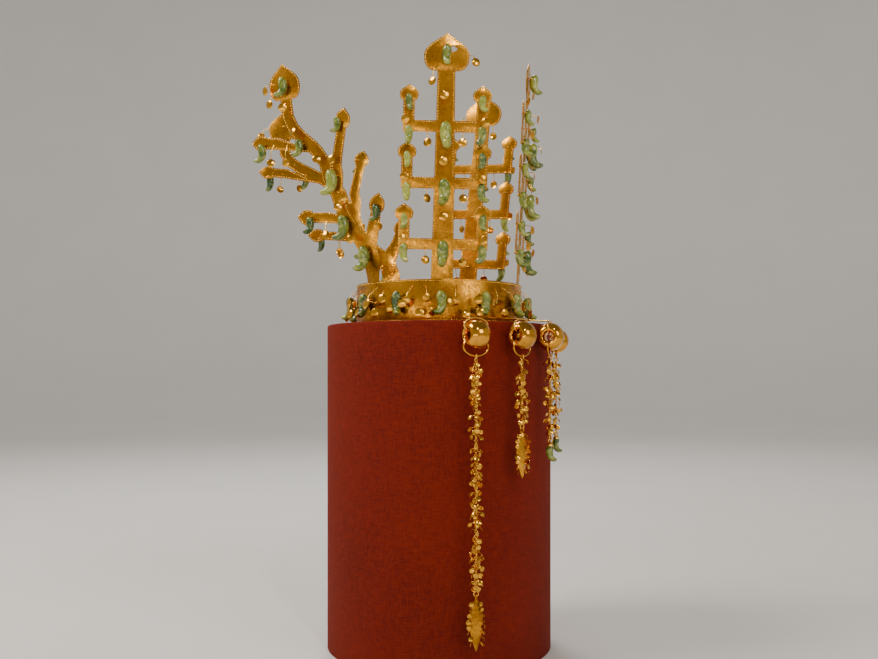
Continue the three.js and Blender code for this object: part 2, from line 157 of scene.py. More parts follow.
def joined(name, *pieces):
    """Join several pieces into the first and give it a name."""
    clear_selection()
    for piece in pieces:
        piece.select_set(True)
    bpy.context.view_layer.objects.active = pieces[0]
    bpy.ops.object.join()
    return named(name)


# %% Moves and turns
def move(x, y, z):
    """A move, in millimetres."""
    return Matrix.Translation((x, y, z))


def turn(degrees, axis):
    """A turn about one of the axes."""
    return Matrix.Rotation(math.radians(degrees), 4, axis)


def around(angle):
    """A turn round the crown: +X runs round it and -Y points outwards."""
    return turn(angle, "Z")


# %% Putting pieces on the object
ROOT = "crown_on_stand"


def hand_over(piece, finish, body=ROOT, nodes=()):
    """Give a finished piece its material and its body, and hide the solids it stands for."""
    piece.data.materials.clear()
    piece.data.materials.append(finish)
    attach(piece, body)
    if nodes:
        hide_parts(*nodes)


# %% [markdown]
# ## Shader maths in plain expressions
# A finish is a small sum: noise times a strength, plus a base value. The class below wraps a socket so
# that such a sum can be written as Python, and its one method adds any other node.

# %% Shader fields
class Field:
    """A value that changes over a surface: wraps the socket that gives it."""

    def __init__(self, tree, socket):
        self.tree = tree
        self.socket = socket

    def node(self, kind, settings=None, inputs=None, output=0):
        """Add a node: settings are set first, then its inputs are given values or links."""
        made = self.tree.nodes.new(kind)
        for key, value in (settings or {}).items():
            setattr(made, key, value)
        for key, value in (inputs or {}).items():
            if isinstance(value, Field):
                self.tree.links.new(value.socket, made.inputs[key])
            else:
                made.inputs[key].default_value = value
        return Field(self.tree, None if output is None else made.outputs[output])

    def maths(self, operation, first, second):
        """Add a Math node."""
        return self.node("ShaderNodeMath", {"operation": operation}, {0: first, 1: second})

    def __add__(self, other):
        return self.maths("ADD", self, other)

    def __radd__(self, other):
        return self.maths("ADD", other, self)

    def __sub__(self, other):
        return self.maths("SUBTRACT", self, other)

    def __rsub__(self, other):
        return self.maths("SUBTRACT", other, self)

    def __mul__(self, other):
        return self.maths("MULTIPLY", self, other)

    def __rmul__(self, other):
        return self.maths("MULTIPLY", other, self)


# %% Starting and closing a material
def start_finish(name):
    """A new empty material and, as a field, the Object coordinates that its patterns read."""
    finish = bpy.data.materials.new(name)
    finish.use_nodes = True
    finish.node_tree.nodes.clear()
    here = Field(finish.node_tree, None).node("ShaderNodeTexCoord", output="Object")
    return finish, here


def close_finish(finish, here, **inputs):
    """Add the shader, with underscores for the spaces in its inputs' names, and the output."""
    sockets = {key.replace("_", " "): value for key, value in inputs.items()}
    shader = here.node("ShaderNodeBsdfPrincipled", {}, sockets)
    here.node("ShaderNodeOutputMaterial", {}, {"Surface": shader}, None)
    return finish


def noise(here, scale, detail=3, roughness=0.5):
    """A noise from 0 to 1 with about one lump in 1 / scale metres."""
    return here.node("ShaderNodeTexNoise", {}, {
        "Vector": here, "Scale": scale, "Detail": detail, "Roughness": roughness,
    })


def spread(field, low, high):
    """A field stretched so that low becomes 0 and high becomes 1, and cut off there."""
    return field.node("ShaderNodeMapRange", {"clamp": True}, {
        "Value": field, "From Min": low, "From Max": high,
    })


def mixed(share, low, high):
    """A colour between two colours."""
    low = low if isinstance(low, Field) else (*low, 1)
    high = high if isinstance(high, Field) else (*high, 1)
    return share.node("ShaderNodeMix", {"data_type": "RGBA"}, {"Factor": share, 6: low, 7: high}, 2)


def bumped(height, strength, depth):
    """A surface normal pushed in and out by a height field, depth in metres."""
    return height.node("ShaderNodeBump", {}, {"Height": height, "Strength": strength, "Distance": depth})


# %% [markdown]
# ## Gold
# The sheet is nearly pure gold, hammered thin, so it is soft and a little wavy, and a brownish film
# lies in its hollows. Wires and spangles are cleaner. The hollow rings were burnished and shine most.
# One recipe makes all of them, with other amounts of film, roughness and hammering.

# %% Gold finishes
FILM = (0.14, 0.042, 0.004)


def gold(name, clean, film, rough, dent, dent_scale):
    """Gold of a clean colour with a share of film, a base roughness and dents of a depth in metres."""
    finish, here = start_finish(name)
    cloud = noise(here, 34, 5, 0.6)
    speck = noise(here, 420, 2)
    stain = spread(cloud * 0.75 + speck * 0.25, 0.4, 0.62) * film
    lumps = noise(here, dent_scale, 2)
    waves = noise(here, 24, 1)
    return close_finish(
        finish, here, Base_Color=mixed(stain, clean, FILM), Metallic=1.0,
        Roughness=rough + stain * 0.22 + (speck - 0.5) * 0.1,
        Normal=bumped(lumps + waves * 0.8, 0.6, dent),
    )


gold_sheet = gold("gold_sheet", (0.77, 0.345, 0.024), film=0.72, rough=0.22, dent=0.0005, dent_scale=140)
gold_wire = gold("gold_wire", (1, 0.58, 0.09), film=0.1, rough=0.2, dent=0.0002, dent_scale=500)
gold_spangle = gold("gold_spangle", (0.92, 0.46, 0.045), film=0.35, rough=0.15, dent=0.0006, dent_scale=260)
gold_burnished = gold("gold_burnished", (0.8, 0.37, 0.035), film=0.3, rough=0.1, dent=0.0003, dent_scale=120)
print("gold finishes made")

# %% [markdown]
# ## Jade
# The commas are cloudy jade, from milky to leaf green, polished by hand. A wide noise makes some
# stones paler than others, and a finer one clouds each stone.

# %% Jade finish
jade, here = start_finish("jade")
between = noise(here, 21, 1)
inside = noise(here, 150, 4, 0.6)
cloudy = spread(between * 0.6 + inside * 0.4, 0.4, 0.62)
green = mixed(cloudy, (0.022, 0.07, 0.003), (0.36, 0.4, 0.045))
veins = spread(noise(here, 190, 5, 0.7), 0.52, 0.68) * 0.6
green = mixed(veins, green, (0.8, 0.74, 0.24))
close_finish(
    jade, here, Base_Color=green, Roughness=0.12 + inside * 0.12, Coat_Weight=0.3, Coat_Roughness=0.05,
    Subsurface_Weight=0.2, Subsurface_Scale=0.004, IOR=1.6,
    Normal=bumped(inside, 0.2, 0.0004),
)
print("jade finish made")

# %% [markdown]
# ## Red cloth
# The drum is wrapped in plain dark red cloth. On its side the weave runs round and up, so the pattern
# reads the angle about the drum's axis and the height; on its flat top the threads run straight across.
# Thicker threads, noise stretched along the weave, show as streaks, and uneven dye mottles the whole.
# The raised threads of the weave and the thick threads are also painted lighter, as a painted highlight.

# %% Cloth finish
red_cloth, here = start_finish("red_cloth")
along_x, along_y, height = [
    here.node("ShaderNodeSeparateXYZ", {}, {"Vector": here}, axis) for axis in ("X", "Y", "Z")]
STAND = {"radius": 119, "height": 340, "top_round": 2.2, "foot_round": 1.2}
# The weave changes over between these two heights at the top edge, in metres.
TOP_EDGE = (0.3388, 0.3396)
THREADS = 620
THREADS_PER_METRE = THREADS / (STAND["radius"] / 1000)
angle = here.maths("ARCTAN2", along_y, along_x)


def thread(field):
    """Threads that lie side by side along a field."""
    return here.maths("SINE", field, 0)


side_weave = thread(angle * THREADS) * thread(height * THREADS_PER_METRE)
top_weave = thread(along_x * THREADS_PER_METRE) * thread(along_y * THREADS_PER_METRE)
on_top = spread(height, *TOP_EDGE)
weave = (side_weave * (1 - on_top) + top_weave * on_top) * 0.5 + 0.5


def slubs(stretch):
    """Thick and thin places in the threads: a noise squeezed by a stretch of its coordinates."""
    squeezed = here.node("ShaderNodeMapping", {}, {"Vector": here, "Scale": stretch})
    return noise(squeezed, 130, 2, 0.6)


slub = slubs((1, 1, 5)) * 0.5 + slubs((5, 5, 1)) * 0.5
dye = spread(noise(here, 9, 4, 0.6), 0.3, 0.7)
cloth_colour = mixed(dye, (0.085, 0.003, 0.0008), (0.14, 0.007, 0.0016))
# Painted highlight: the crowns of the weave and the thick threads get a lighter red, as if lit.
painted_thread_highlight = spread(weave * 0.25 + slub * 0.75, 0.37, 0.63) * 0.6
cloth_colour = mixed(painted_thread_highlight, cloth_colour, (0.29, 0.02, 0.004))
close_finish(
    red_cloth, here, Base_Color=cloth_colour, Roughness=0.85 + slub * 0.12, Specular_IOR_Level=0.2,
    Sheen_Weight=0.08, Sheen_Tint=(0.8, 0.2, 0.1, 1), Normal=bumped(weave + slub * 1.5, 0.5, 0.0006),
)
print("cloth finish made")

# %% [markdown]
# ## The drum
# The stand is a plain upright drum, taller than it is wide, with the cloth drawn over its top edge.
# A cylinder at its full size gives the body, and its two rims are rounded as the padding under a
# cloth would round them.

# %% Selecting by place
def choose(piece, kind, test):
    """Enter edit mode with the points, edges or faces whose middle passes the test selected."""
    pick(piece)
    bpy.ops.object.mode_set(mode="EDIT")
    bpy.ops.mesh.select_mode(type=kind)
    bpy.ops.mesh.select_all(action="DESELECT")
    mesh = bmesh.from_edit_mesh(piece.data)
    items = {"VERT": mesh.verts, "EDGE": mesh.edges, "FACE": mesh.faces}[kind]
    for item in items:
        corners = [item.co] if kind == "VERT" else [vertex.co for vertex in item.verts]
        item.select_set(bool(test(sum(corners, Vector()) / len(corners))))
    mesh.select_flush_mode()
    bmesh.update_edit_mesh(piece.data)


def leave_edit():
    """Go back to object mode."""
    bpy.ops.object.mode_set(mode="OBJECT")


# %% Drum
clear_selection()
bpy.ops.mesh.primitive_cylinder_add(
    vertices=160, radius=STAND["radius"], depth=STAND["height"], location=(0, 0, STAND["height"] / 2),
)
stand = named("stand_cloth")
pick(stand)
bpy.ops.object.transform_apply(location=True)
choose(stand, "EDGE", lambda middle: middle.z > STAND["height"] - 0.1)
bpy.ops.mesh.bevel(offset=STAND["top_round"], segments=5, affect="EDGES")
leave_edit()
choose(stand, "EDGE", lambda middle: middle.z < 0.1)
bpy.ops.mesh.bevel(offset=STAND["foot_round"], segments=3, affect="EDGES")
leave_edit()
settle(soften(stand, 30))
hand_over(stand, red_cloth, nodes=["stand"])
print("drum:", len(stand.data.polygons), "faces")

# %% [markdown]
# ## Small parts that repeat
# The same few parts cover the whole crown: a raised dot, a wire ring, a twisted stem, a spangle and a
# comma jade. Each is modelled once as a master, in millimetres, and copied to its places.

# %% Wire
def wire_piece(name, points, wire, closed=False, sides=1, twist=0):
    """A wire along points: a curve with a round section, made into a mesh."""
    curve = bpy.data.curves.new(name, "CURVE")
    curve.dimensions = "3D"
    curve.bevel_depth = wire
    curve.bevel_resolution = sides
    curve.use_fill_caps = not closed
    line = curve.splines.new("POLY")
    line.points.add(len(points) - 1)
    line.use_cyclic_u = closed
    for i, (knot, point) in enumerate(zip(line.points, points)):
        knot.co = (*point, 1)
        knot.tilt = math.radians(twist * i)
    piece = bpy.data.objects.new(name, curve)
    bpy.context.scene.collection.objects.link(piece)
    pick(piece)
    bpy.ops.object.convert(target="MESH")
    piece = named(name)
    return close_up(piece)


def oval(across, high, count):
    """Points round an oval in the XY plane."""
    turns = [2 * math.pi * i / count for i in range(count)]
    return [(across * math.cos(t), high * math.sin(t), 0) for t in turns]


# %% Dot, tie ring and stem
clear_selection()
bpy.ops.mesh.primitive_ico_sphere_add(subdivisions=1, radius=1)
dot = named("dot_master")
choose(dot, "VERT", lambda place: True)
bpy.ops.transform.resize(value=(1.02, 1.02, 1.1))
leave_edit()

FINE_WIRE = 0.45
TIE = 4.6
tie = wire_piece("tie_master", oval(TIE, TIE, 14), FINE_WIRE, closed=True)
settle(tie, turn(90, "X"))

STEM = 12
STEM_STEPS = 10
stem_line = [(0, -2, -1.3), (0, -0.2, -1.5)]
for i in range(STEM_STEPS + 1):
    sway = 1.3 * math.sin(2.4 * i / STEM_STEPS) - 0.9 * (i / STEM_STEPS) ** 4
    stem_line.append((0, sway, STEM * i / STEM_STEPS))
stem = wire_piece("stem_master", stem_line, FINE_WIRE, sides=0, twist=34)
print("dot, tie and stem masters made")

# %% [markdown]
# A spangle is a disc stamped from thin sheet, slightly dished, that hangs from a point near its edge. A
# filled circle is inset, its middle is pushed out, and a solidify gives the thickness of the sheet.

# %% Spangle
SPANGLE = {"radius": 4.3, "down": 3.4, "rim": 1.6, "dish": 0.7, "thick": 0.35}

clear_selection()
bpy.ops.mesh.primitive_circle_add(
    vertices=12, radius=SPANGLE["radius"], fill_type="NGON", location=(0, -SPANGLE["down"], 0),
)
spangle = named("spangle_master")
pick(spangle)
bpy.ops.object.transform_apply(location=True)
choose(spangle, "FACE", lambda middle: True)
bpy.ops.mesh.inset(thickness=SPANGLE["rim"])
bpy.ops.transform.translate(value=(0, 0, SPANGLE["dish"]))
leave_edit()
finish_with(spangle, "SOLIDIFY", thickness=SPANGLE["thick"], offset=0)
print("spangle:", len(spangle.data.polygons), "faces")

# %% [markdown]
# A comma jade is a bent, tapering stone, bored through its head. It is drawn out of a disc: each step
# extrudes the end face a little further round the curl, turns it and swells or narrows it. A smoothing
# modifier then rounds it as hand polishing would.

# %% Comma jade
STONE = {"length": 20, "from": 110, "to": 298, "high": 0.35, "deep": 0.27}
STONE_HOLE = 0.2
# Half widths along the stone, as shares of its length: a round head, then a long taper.
STONE_GIRTH = [
    (0, 0.04), (0.03, 0.11), (0.09, 0.165), (0.18, 0.203), (0.28, 0.21), (0.4, 0.196), (0.53, 0.178),
    (0.66, 0.158), (0.79, 0.134), (0.9, 0.1), (0.97, 0.062), (1, 0.028),
]


def stone_section(share):
    """The middle of the master stone and its heading at a share of its length."""
    angle = math.radians(STONE["from"] + (STONE["to"] - STONE["from"]) * share)
    high = STONE["high"] * STONE["length"]
    deep = STONE["deep"] * STONE["length"]
    middle = Vector((0, high * math.sin(angle), deep * math.cos(angle)))
    return middle, math.atan2(-high * math.cos(angle), -deep * math.sin(angle))


hole_middle = stone_section(STONE_HOLE)[0]
middle, heading = stone_section(0)
plump = STONE_GIRTH[0][1] * STONE["length"]
clear_selection()
bpy.ops.mesh.primitive_circle_add(
    vertices=8, radius=plump, fill_type="NGON", location=middle - hole_middle, rotation=(heading, 0, 0),
)
comma = named("comma_master")
pick(comma)
bpy.ops.object.transform_apply(location=True, rotation=True)
choose(comma, "FACE", lambda place: True)
for share, girth in STONE_GIRTH[1:]:
    last_middle, last_heading, last_plump = middle, heading, plump
    middle, heading = stone_section(share)
    plump = girth * STONE["length"]
    centre = middle - hole_middle
    bpy.ops.mesh.extrude_region_move(TRANSFORM_OT_translate={"value": middle - last_middle})
    bpy.ops.transform.rotate(value=last_heading - heading, orient_axis="X", center_override=centre)
    bpy.ops.transform.resize(value=(plump / last_plump,) * 3, center_override=centre)
bpy.ops.mesh.select_all(action="SELECT")
bpy.ops.transform.resize(value=(1, 1.04, 1.04), center_override=(0, 0, 0))
leave_edit()
close_up(comma)
finish_with(comma, "SUBSURF", levels=1)
comma_back = -min(vertex.co.z for vertex in comma.data.vertices)
print("comma jade:", len(comma.data.polygons), "faces, back", round(comma_back, 2))

# %% [markdown]
# ## Hanging things on a sheet
# A wall matrix says where a spot on the gold is: +Z points out of the sheet and +Y up along it. Stems,
# spangles, jades and their tie rings are then placed by the same rules on the band and the uprights.

# %% Places on a sheet
dice = random.Random(11)
SHEET = 1


def give_or_take(most):
    """A chance amount, at most so much either way."""
    return dice.uniform(-most, most)


# A stone hangs this far off the sheet. One that hangs below an edge by its head sits closer, at this
# share of the depth of its back.
STONE_GAP = 0.3
HEAD_BACK = 0.72


def jade_place(wall, length, plumb, by_head, yaw):
    """A jade against the sheet, hanging plumb and turned by its yaw or a little to either side of it."""
    size = length / STONE["length"]
    back = comma_back * HEAD_BACK if by_head else comma_back
    out = (STONE_GAP + back) * size
    sway = turn(yaw + give_or_take(18), "Y") @ turn(give_or_take(5), "Z")
    return wall @ move(0, 0, out) @ turn(-plumb, "X") @ sway @ Matrix.Scale(size, 4), out


TIE_ACROSS = 0.2
TIE_BEHIND = 1.2


def tie_place(wall, out, length):
    """The wire ring that holds a jade, through the sheet and the stone's hole, drawn flat behind."""
    half_across = TIE_ACROSS * length
    half_deep = (out + SHEET + TIE_BEHIND) / 2
    return wall @ move(0, 0, out - half_deep) @ Matrix.Diagonal((half_across / TIE, 1, half_deep / TIE, 1))


def spangle_places(wall, reach, plumb, droop, swing):
    """A stem that stands out of the sheet, drooping or swung aside, and the spangle at its end."""
    aside = turn(swing + give_or_take(14), "Y")
    lean = aside @ turn(droop + give_or_take(10), "X")
    end = lean @ Vector((0, 0, reach))
    hang = turn(-plumb, "X") @ turn(give_or_take(40), "Y") @ turn(give_or_take(14), "X")
    return wall @ lean @ Matrix.Scale(reach / STEM, 4, (0, 0, 1)), wall @ Matrix.Translation(end) @ hang


# %% Dressing a sheet
def dress(label, jades, spangles, dots, nodes=()):
    """Make the small parts of one sheet: rows of jades (wall, length, plumb, by_head, yaw), spangles
    (wall, reach, plumb, droop, swing) and dots (places)."""
    stones = [jade_place(*row) for row in jades]
    ties = [tie_place(row[0], out, row[1]) for row, (_, out) in zip(jades, stones)]
    hung = [spangle_places(*row) for row in spangles]
    wires = [strew(tie, label + "_ties", ties), strew(stem, label + "_stems", [row[0] for row in hung])]
    wires.append(strew(dot, label + "_dots", dots))
    pieces = [joined("wires_" + label, *wires)]
    hand_over(settle(pieces[0]), gold_wire)
    pieces.append(strew(spangle, "spangles_" + label, [row[1] for row in hung]))
    hand_over(settle(soften(pieces[1], 35)), gold_spangle)
    pieces.append(strew(comma, "jades_" + label, [row[0] for row in stones]))
    hand_over(settle(pieces[2]), jade, nodes=nodes)
    print(label, "dressed:", len(jades), "jades,", len(spangles), "spangles,", len(dots), "dots")


# %% [markdown]
# ## The headband
# The band is a strip of sheet gold bent into a ring, a little over four centimetres high. Rows of dots
# were punched along both edges. An open cylinder gives the ring and a solidify its wall.

# %% Headband
BAND = {"radius": 88, "wall": 1.2, "bottom": 340.3, "height": 42, "edge": 0.3}
BAND_TOP = BAND["bottom"] + BAND["height"]

clear_selection()
bpy.ops.mesh.primitive_cylinder_add(
    vertices=144, radius=BAND["radius"], depth=BAND["height"], end_fill_type="NOTHING",
    location=(0, 0, BAND["bottom"] + BAND["height"] / 2),
)
band = named("band_sheet")
pick(band)
bpy.ops.object.transform_apply(location=True)
finish_with(band, "SOLIDIFY", thickness=BAND["wall"], offset=-1)
finish_with(band, "BEVEL", width=BAND["edge"], segments=2)
settle(soften(band, 30))
hand_over(band, gold_sheet, nodes=["headband"])


def band_wall(angle, up):
    """A spot on the outside of the band, at an angle from the front and a height above its foot."""
    return around(angle) @ move(0, -BAND["radius"], BAND["bottom"] + up) @ turn(90, "X")


# %% [markdown]
# Thirteen jades hang round the band, and in each gap between two of them stands a spray of five spangles
# that differ in height, reach and lean.

# %% Jades, spangles and dots of the band
BAND_STONES = {"count": 13, "first": 4.5, "up": 24, "length": 28}
# For each spangle: degrees from the middle of the gap, up, shortest and longest stem, droop and swing.
BAND_SPRAY = [
    (-4, 36, 14, 19, 52, -20), (4, 35, 12, 16, 44, 20), (0, 16, 10, 14, 20, 0), (-7, 20, 9, 12, -10, -25),
    (7, 14, 10, 13, 0, 25),
]
EDGE_DOTS = {"count": 216, "inset": 1.6, "sunk": 0.45}

band_jades = []
band_spangles = []
for i in range(BAND_STONES["count"]):
    angle = BAND_STONES["first"] + 360 * i / BAND_STONES["count"]
    gap = 180 / BAND_STONES["count"]
    wall = band_wall(angle, BAND_STONES["up"])
    band_jades.append((wall, BAND_STONES["length"], 0, False, give_or_take(45)))
    for aside, up, shortest, longest, droop, swing in BAND_SPRAY:
        reach = dice.uniform(shortest, longest)
        band_spangles.append((band_wall(angle + gap + aside, up), reach, 0, droop, swing))
band_dots = []
for up in (EDGE_DOTS["inset"], BAND["height"] - EDGE_DOTS["inset"]):
    for i in range(EDGE_DOTS["count"]):
        band_dots.append(band_wall(360 * i / EDGE_DOTS["count"], up) @ move(0, 0, -EDGE_DOTS["sunk"]))
dress("band", band_jades, band_spangles, band_dots)

# %% [markdown]
# ## Sheet uprights
# Each upright was cut from one sheet. It is drawn the same way here: a flat strip for the foot, then
# edges extruded row by row up the stem, and from the sides of the stem out along the branches. The rows
# of a bud follow a curve that swells and then runs in to a point.

# %% Drawing out an edge
def edge_at(piece, spot):
    """Select alone the edge whose middle lies nearest to a spot, and return its two ends."""
    mesh = bmesh.from_edit_mesh(piece.data)
    nearest = min(mesh.edges, key=lambda edge: ((edge.verts[0].co + edge.verts[1].co) / 2 - spot).length)
    bpy.ops.mesh.select_all(action="DESELECT")
    nearest.select_set(True)
    mesh.select_flush_mode()
    bmesh.update_edit_mesh(piece.data)
    return [vertex.co.copy() for vertex in nearest.verts]


def draw_out(piece, spot, rows):
    """Extrude the edge at a spot through rows, each a pair of points."""
    ends = edge_at(piece, Vector(spot))
    first = rows[0]
    if (ends[0] - first[0]).length + (ends[1] - first[1]).length > \
            (ends[0] - first[1]).length + (ends[1] - first[0]).length:
        ends.reverse()
    for before, after in zip([ends] + rows, rows):
        bpy.ops.mesh.extrude_edges_move()
        mesh = bmesh.from_edit_mesh(piece.data)
        for vertex in [v for v in mesh.verts if v.select]:
            nearer = 0 if (vertex.co - before[0]).length < (vertex.co - before[1]).length else 1
            vertex.co = after[nearer]
        bmesh.update_edit_mesh(piece.data)


# %% Rows of a bud
def curve_point(points, share):
    """A point of the cubic curve with four control points."""
    a, b, c, d = points
    rest = 1 - share
    return a * rest**3 + 3 * b * rest**2 * share + 3 * c * rest * share**2 + d * share**3


def bud_profile(half, width, height, steps):
    """Half widths and heights of a bud, from its neck to its tip."""
    low = [Vector(p) for p in ((half, 0), (width * 0.42, -height * 0.02), (width / 2, height * 0.16))]
    shoulder = Vector((width / 2, height * 0.4))
    high = [Vector(p) for p in ((width / 2, height * 0.7), (width * 0.14, height * 0.84), (0, height))]
    shares = [i / steps for i in range(1, steps + 1)]
    return [curve_point(low + [shoulder], s) for s in shares] + [
        curve_point([shoulder] + high, s) for s in shares]


def bud_rows(foot, along, half, width, height, steps):
    """Rows of a bud that stands on a foot point and points along a direction."""
    side = Vector((-along.y, along.x, 0))
    profile = bud_profile(half, width, height, steps)
    return [[foot + along * up + side * x, foot + along * up - side * x] for x, up in profile]


# %% Starting and thickening a sheet
SHEET_EDGE = 0.22


def flat_strip(name, left, right, low, high):
    """A flat rectangle to start a sheet from, in edit mode."""
    clear_selection()
    bpy.ops.mesh.primitive_plane_add(size=1, location=((left + right) / 2, (low + high) / 2, 0))
    piece = named(name)
    piece.scale = (right - left, high - low, 1)
    bpy.ops.object.transform_apply(location=True, scale=True)
    bpy.ops.object.mode_set(mode="EDIT")
    bpy.ops.mesh.select_mode(type="EDGE")
    return piece


def make_sheet(piece):
    """Give a flat drawing the thickness and the soft edges of cut sheet."""
    finish_with(piece, "SOLIDIFY", thickness=SHEET, offset=0)
    finish_with(piece, "BEVEL", width=SHEET_EDGE, segments=2, limit_method="ANGLE")
    soften(piece, 30)


# %% Dots along a rim
RIM_DOTS = {"inset": 1.4, "spacing": 2.6}


def dots_along(piece, lowest):
    """Places for punched dots inside the rim of a flat sheet, above a lowest height."""
    mesh = bmesh.new()
    mesh.from_mesh(piece.data)
    places = []
    left = RIM_DOTS["spacing"] / 2
    unused = [edge for edge in mesh.edges if edge.is_boundary]
    while unused:
        loop = unused.pop(0).link_loops[0]
        start = loop.vert
        tip = loop.link_loop_next.vert
        while True:
            line = tip.co - start.co
            inward = loop.face.normal.cross(line).normalized() * RIM_DOTS["inset"]
            while left < line.length:
                spot = start.co + line.normalized() * left + inward
                if spot.y > lowest:
                    places.append(spot)
                left += RIM_DOTS["spacing"]
            left -= line.length
            follow = [e for e in tip.link_edges if e in unused]
            if not follow:
                break
            unused.remove(follow[0])
            start, tip = tip, follow[0].other_vert(tip)
    mesh.free()
    return places


# %% [markdown]
# ### Trees
# A tree has a tapering stem and three tiers of arms, each a bar with an upturned end and a small bud.
# The stem ends in a large bud. All three trees are cut alike, so one is drawn and copied.

# %% Tree drawing
TREE = {"foot": 22, "neck_width": 17.2, "neck": 198, "bar": 11, "arm": 11.2, "rise": 39, "dots_from": 4}
TREE_BUD = {"width": 18.5, "height": 15}
TREE_TOP = {"width": 44, "height": 35.5}
TREE_TIERS = [(33, 38.4), (92, 36.5), (146, 35.4)]
FOOT_DOWN = 35
UP = Vector((0, 1, 0))


def stem_half(up):
    """Half the stem's width at a height."""
    return (TREE["foot"] + (TREE["neck_width"] - TREE["foot"]) * up / TREE["neck"]) / 2


def level(half, up, across=0):
    """A level row of two points."""
    return [Vector((across - half, up, 0)), Vector((across + half, up, 0))]


tree = flat_strip("tree_drawing", -TREE["foot"] / 2, TREE["foot"] / 2, -FOOT_DOWN, 0)
heights = [bar + step * TREE["bar"] / 2 for bar, _ in TREE_TIERS for step in (-1, 1)] + [TREE["neck"]]
stem_rows = [level(stem_half(up), up) for up in heights]
top_foot = Vector((0, TREE["neck"], 0))
stem_rows += bud_rows(top_foot, UP, stem_half(TREE["neck"]), TREE_TOP["width"], TREE_TOP["height"], 7)
draw_out(tree, (0, 0, 0), stem_rows)
for bar, reach in TREE_TIERS:
    low = bar - TREE["bar"] / 2
    high = bar + TREE["bar"] / 2
    half = TREE["arm"] / 2
    for side in (-1, 1):
        bar_rows = [
            [Vector((side * x, low, 0)), Vector((side * x, high, 0))] for x in (reach - half, reach + half)]
        draw_out(tree, (side * stem_half(bar), bar, 0), bar_rows)
        bud_foot = Vector((side * reach, bar + TREE["rise"] - TREE_BUD["height"], 0))
        arm_rows = [level(half, bud_foot.y, bud_foot.x)]
        arm_rows += bud_rows(bud_foot, UP, half, TREE_BUD["width"], TREE_BUD["height"], 5)
        draw_out(tree, (side * reach, high, 0), arm_rows)
leave_edit()
close_up(tree)
tree_dots = dots_along(tree, TREE["dots_from"])
print("tree drawn:", len(tree.data.polygons), "faces,", len(tree_dots), "dots")

# %% [markdown]
# ### Standing an upright on the band
# The foot goes down inside the band and the sheet leans outwards from a bend just above its top edge.
# In the flat drawing the bend is the level line at height 0.

# %% Placing an upright
BEND = BAND_TOP + 1
FOOT_CLEAR = 1


def foot_radius(width):
    """How far the middle of a foot lies from the crown's axis."""
    inside = BAND["radius"] - BAND["wall"] - FOOT_CLEAR
    return math.sqrt(inside**2 - (width / 2) ** 2) - SHEET / 2


def upright_place(angle, lean, roll, face, width):
    """The place of a flat drawing: round the crown, out to the foot, turned to its face and leaned."""
    stand_on = around(angle) @ move(0, -foot_radius(width), BEND) @ turn(face - angle, "Z")
    return stand_on @ turn(90 + lean, "X") @ turn(-roll, "Z")


def bend_foot(piece, lean, roll):
    """Turn the part below the bend upright again, so that it lies flat inside the band."""
    choose(piece, "VERT", lambda place: place.y < -1)
    bpy.ops.transform.rotate(value=math.radians(lean), orient_axis="X", center_override=(0, 0, 0))
    bpy.ops.transform.rotate(value=-math.radians(roll), orient_axis="Z", center_override=(0, 0, 0))
    leave_edit()


# %% [markdown]
# ### The three trees
# Each tree is a copy of the drawing with its foot bent to the band. The right one has a worn hole in its
# top bud, cut with a punch as the loss would be. Jades hang on the stem, on the buds and below the bars.

# %% Trees and their places
TREES = [
    {"name": "tree_front", "angle": 0, "lean": 3, "roll": 0},
    {"name": "tree_right", "angle": -78, "lean": 6.5, "roll": 1},
    {"name": "tree_left", "angle": 78, "lean": 6.5, "roll": -3.5},
]
WORN_HOLE = {"tree": "tree_right", "across": 6.5, "up": 218.5, "radius": 3, "deep": 6}
# Lengths of a tree's jades, and how far each hangs down from the bud's tip or the middle of the bar.
TOP_STONE = {"length": 24, "down": 17}
STEM_STONE = {"length": 31, "down": 3}
BUD_STONE = {"length": 19, "down": 13.8}
BAR_STONE = {"length": 22, "down": 4.5}
# Across, up, droop and swing of each spangle's stem: on the stem, at the top bud and under the bars.
TREE_SPANGLES = [(0, 62, 0, 0), (0, 117, 0, 0), (1, 178, 0, 0), (-9, 203, 60, -45), (19, 214, 25, 75)]
TREE_SPANGLES += [(side * 18, bar - 3, 62, 0) for bar, _ in TREE_TIERS for side in (-1, 1)]
TREE_SPANGLES += [(side * reach, bar + 10, 15, side * 12) for bar, reach in TREE_TIERS for side in (-1, 1)]


def wear_hole(sheet):
    """Cut the worn hole through a sheet with a punch that is wider on one side."""
    clear_selection()
    spot = (WORN_HOLE["across"], WORN_HOLE["up"], 0)
    bpy.ops.mesh.primitive_cylinder_add(
        vertices=11, radius=WORN_HOLE["radius"], depth=WORN_HOLE["deep"], location=spot,
    )
    punch = named("worn_hole")
    choose(punch, "VERT", lambda place: place.x > 0)
    bpy.ops.transform.resize(value=(1.15, 0.75, 1), center_override=spot)
    leave_edit()
    finish_with(sheet, "BOOLEAN", object=punch, operation="DIFFERENCE", solver="EXACT")
    put_away(punch)


def tree_stones(front, lean):
    """Rows for a tree's jades: one at the top, and in each tier one on the stem and four on the arms."""
    top_up = TREE["neck"] + TREE_TOP["height"] - TOP_STONE["down"]
    rows = [(front @ move(0, top_up, 0), TOP_STONE["length"], lean, False, 15)]
    for bar, reach in TREE_TIERS:
        wall = front @ move(0, bar - STEM_STONE["down"], 0)
        rows.append((wall, STEM_STONE["length"], lean, False, dice.choice((-25, 10, 40))))
        for side in (-1, 1):
            yaw = dice.choice((-45, -20, 20, 45))
            wall = front @ move(side * reach, bar + TREE["rise"] - BUD_STONE["down"], 0)
            rows.append((wall, BUD_STONE["length"], lean, False, yaw))
            wall = front @ move(side * reach, bar - BAR_STONE["down"], 0)
            rows.append((wall, BAR_STONE["length"], lean, True, -yaw))
    return rows


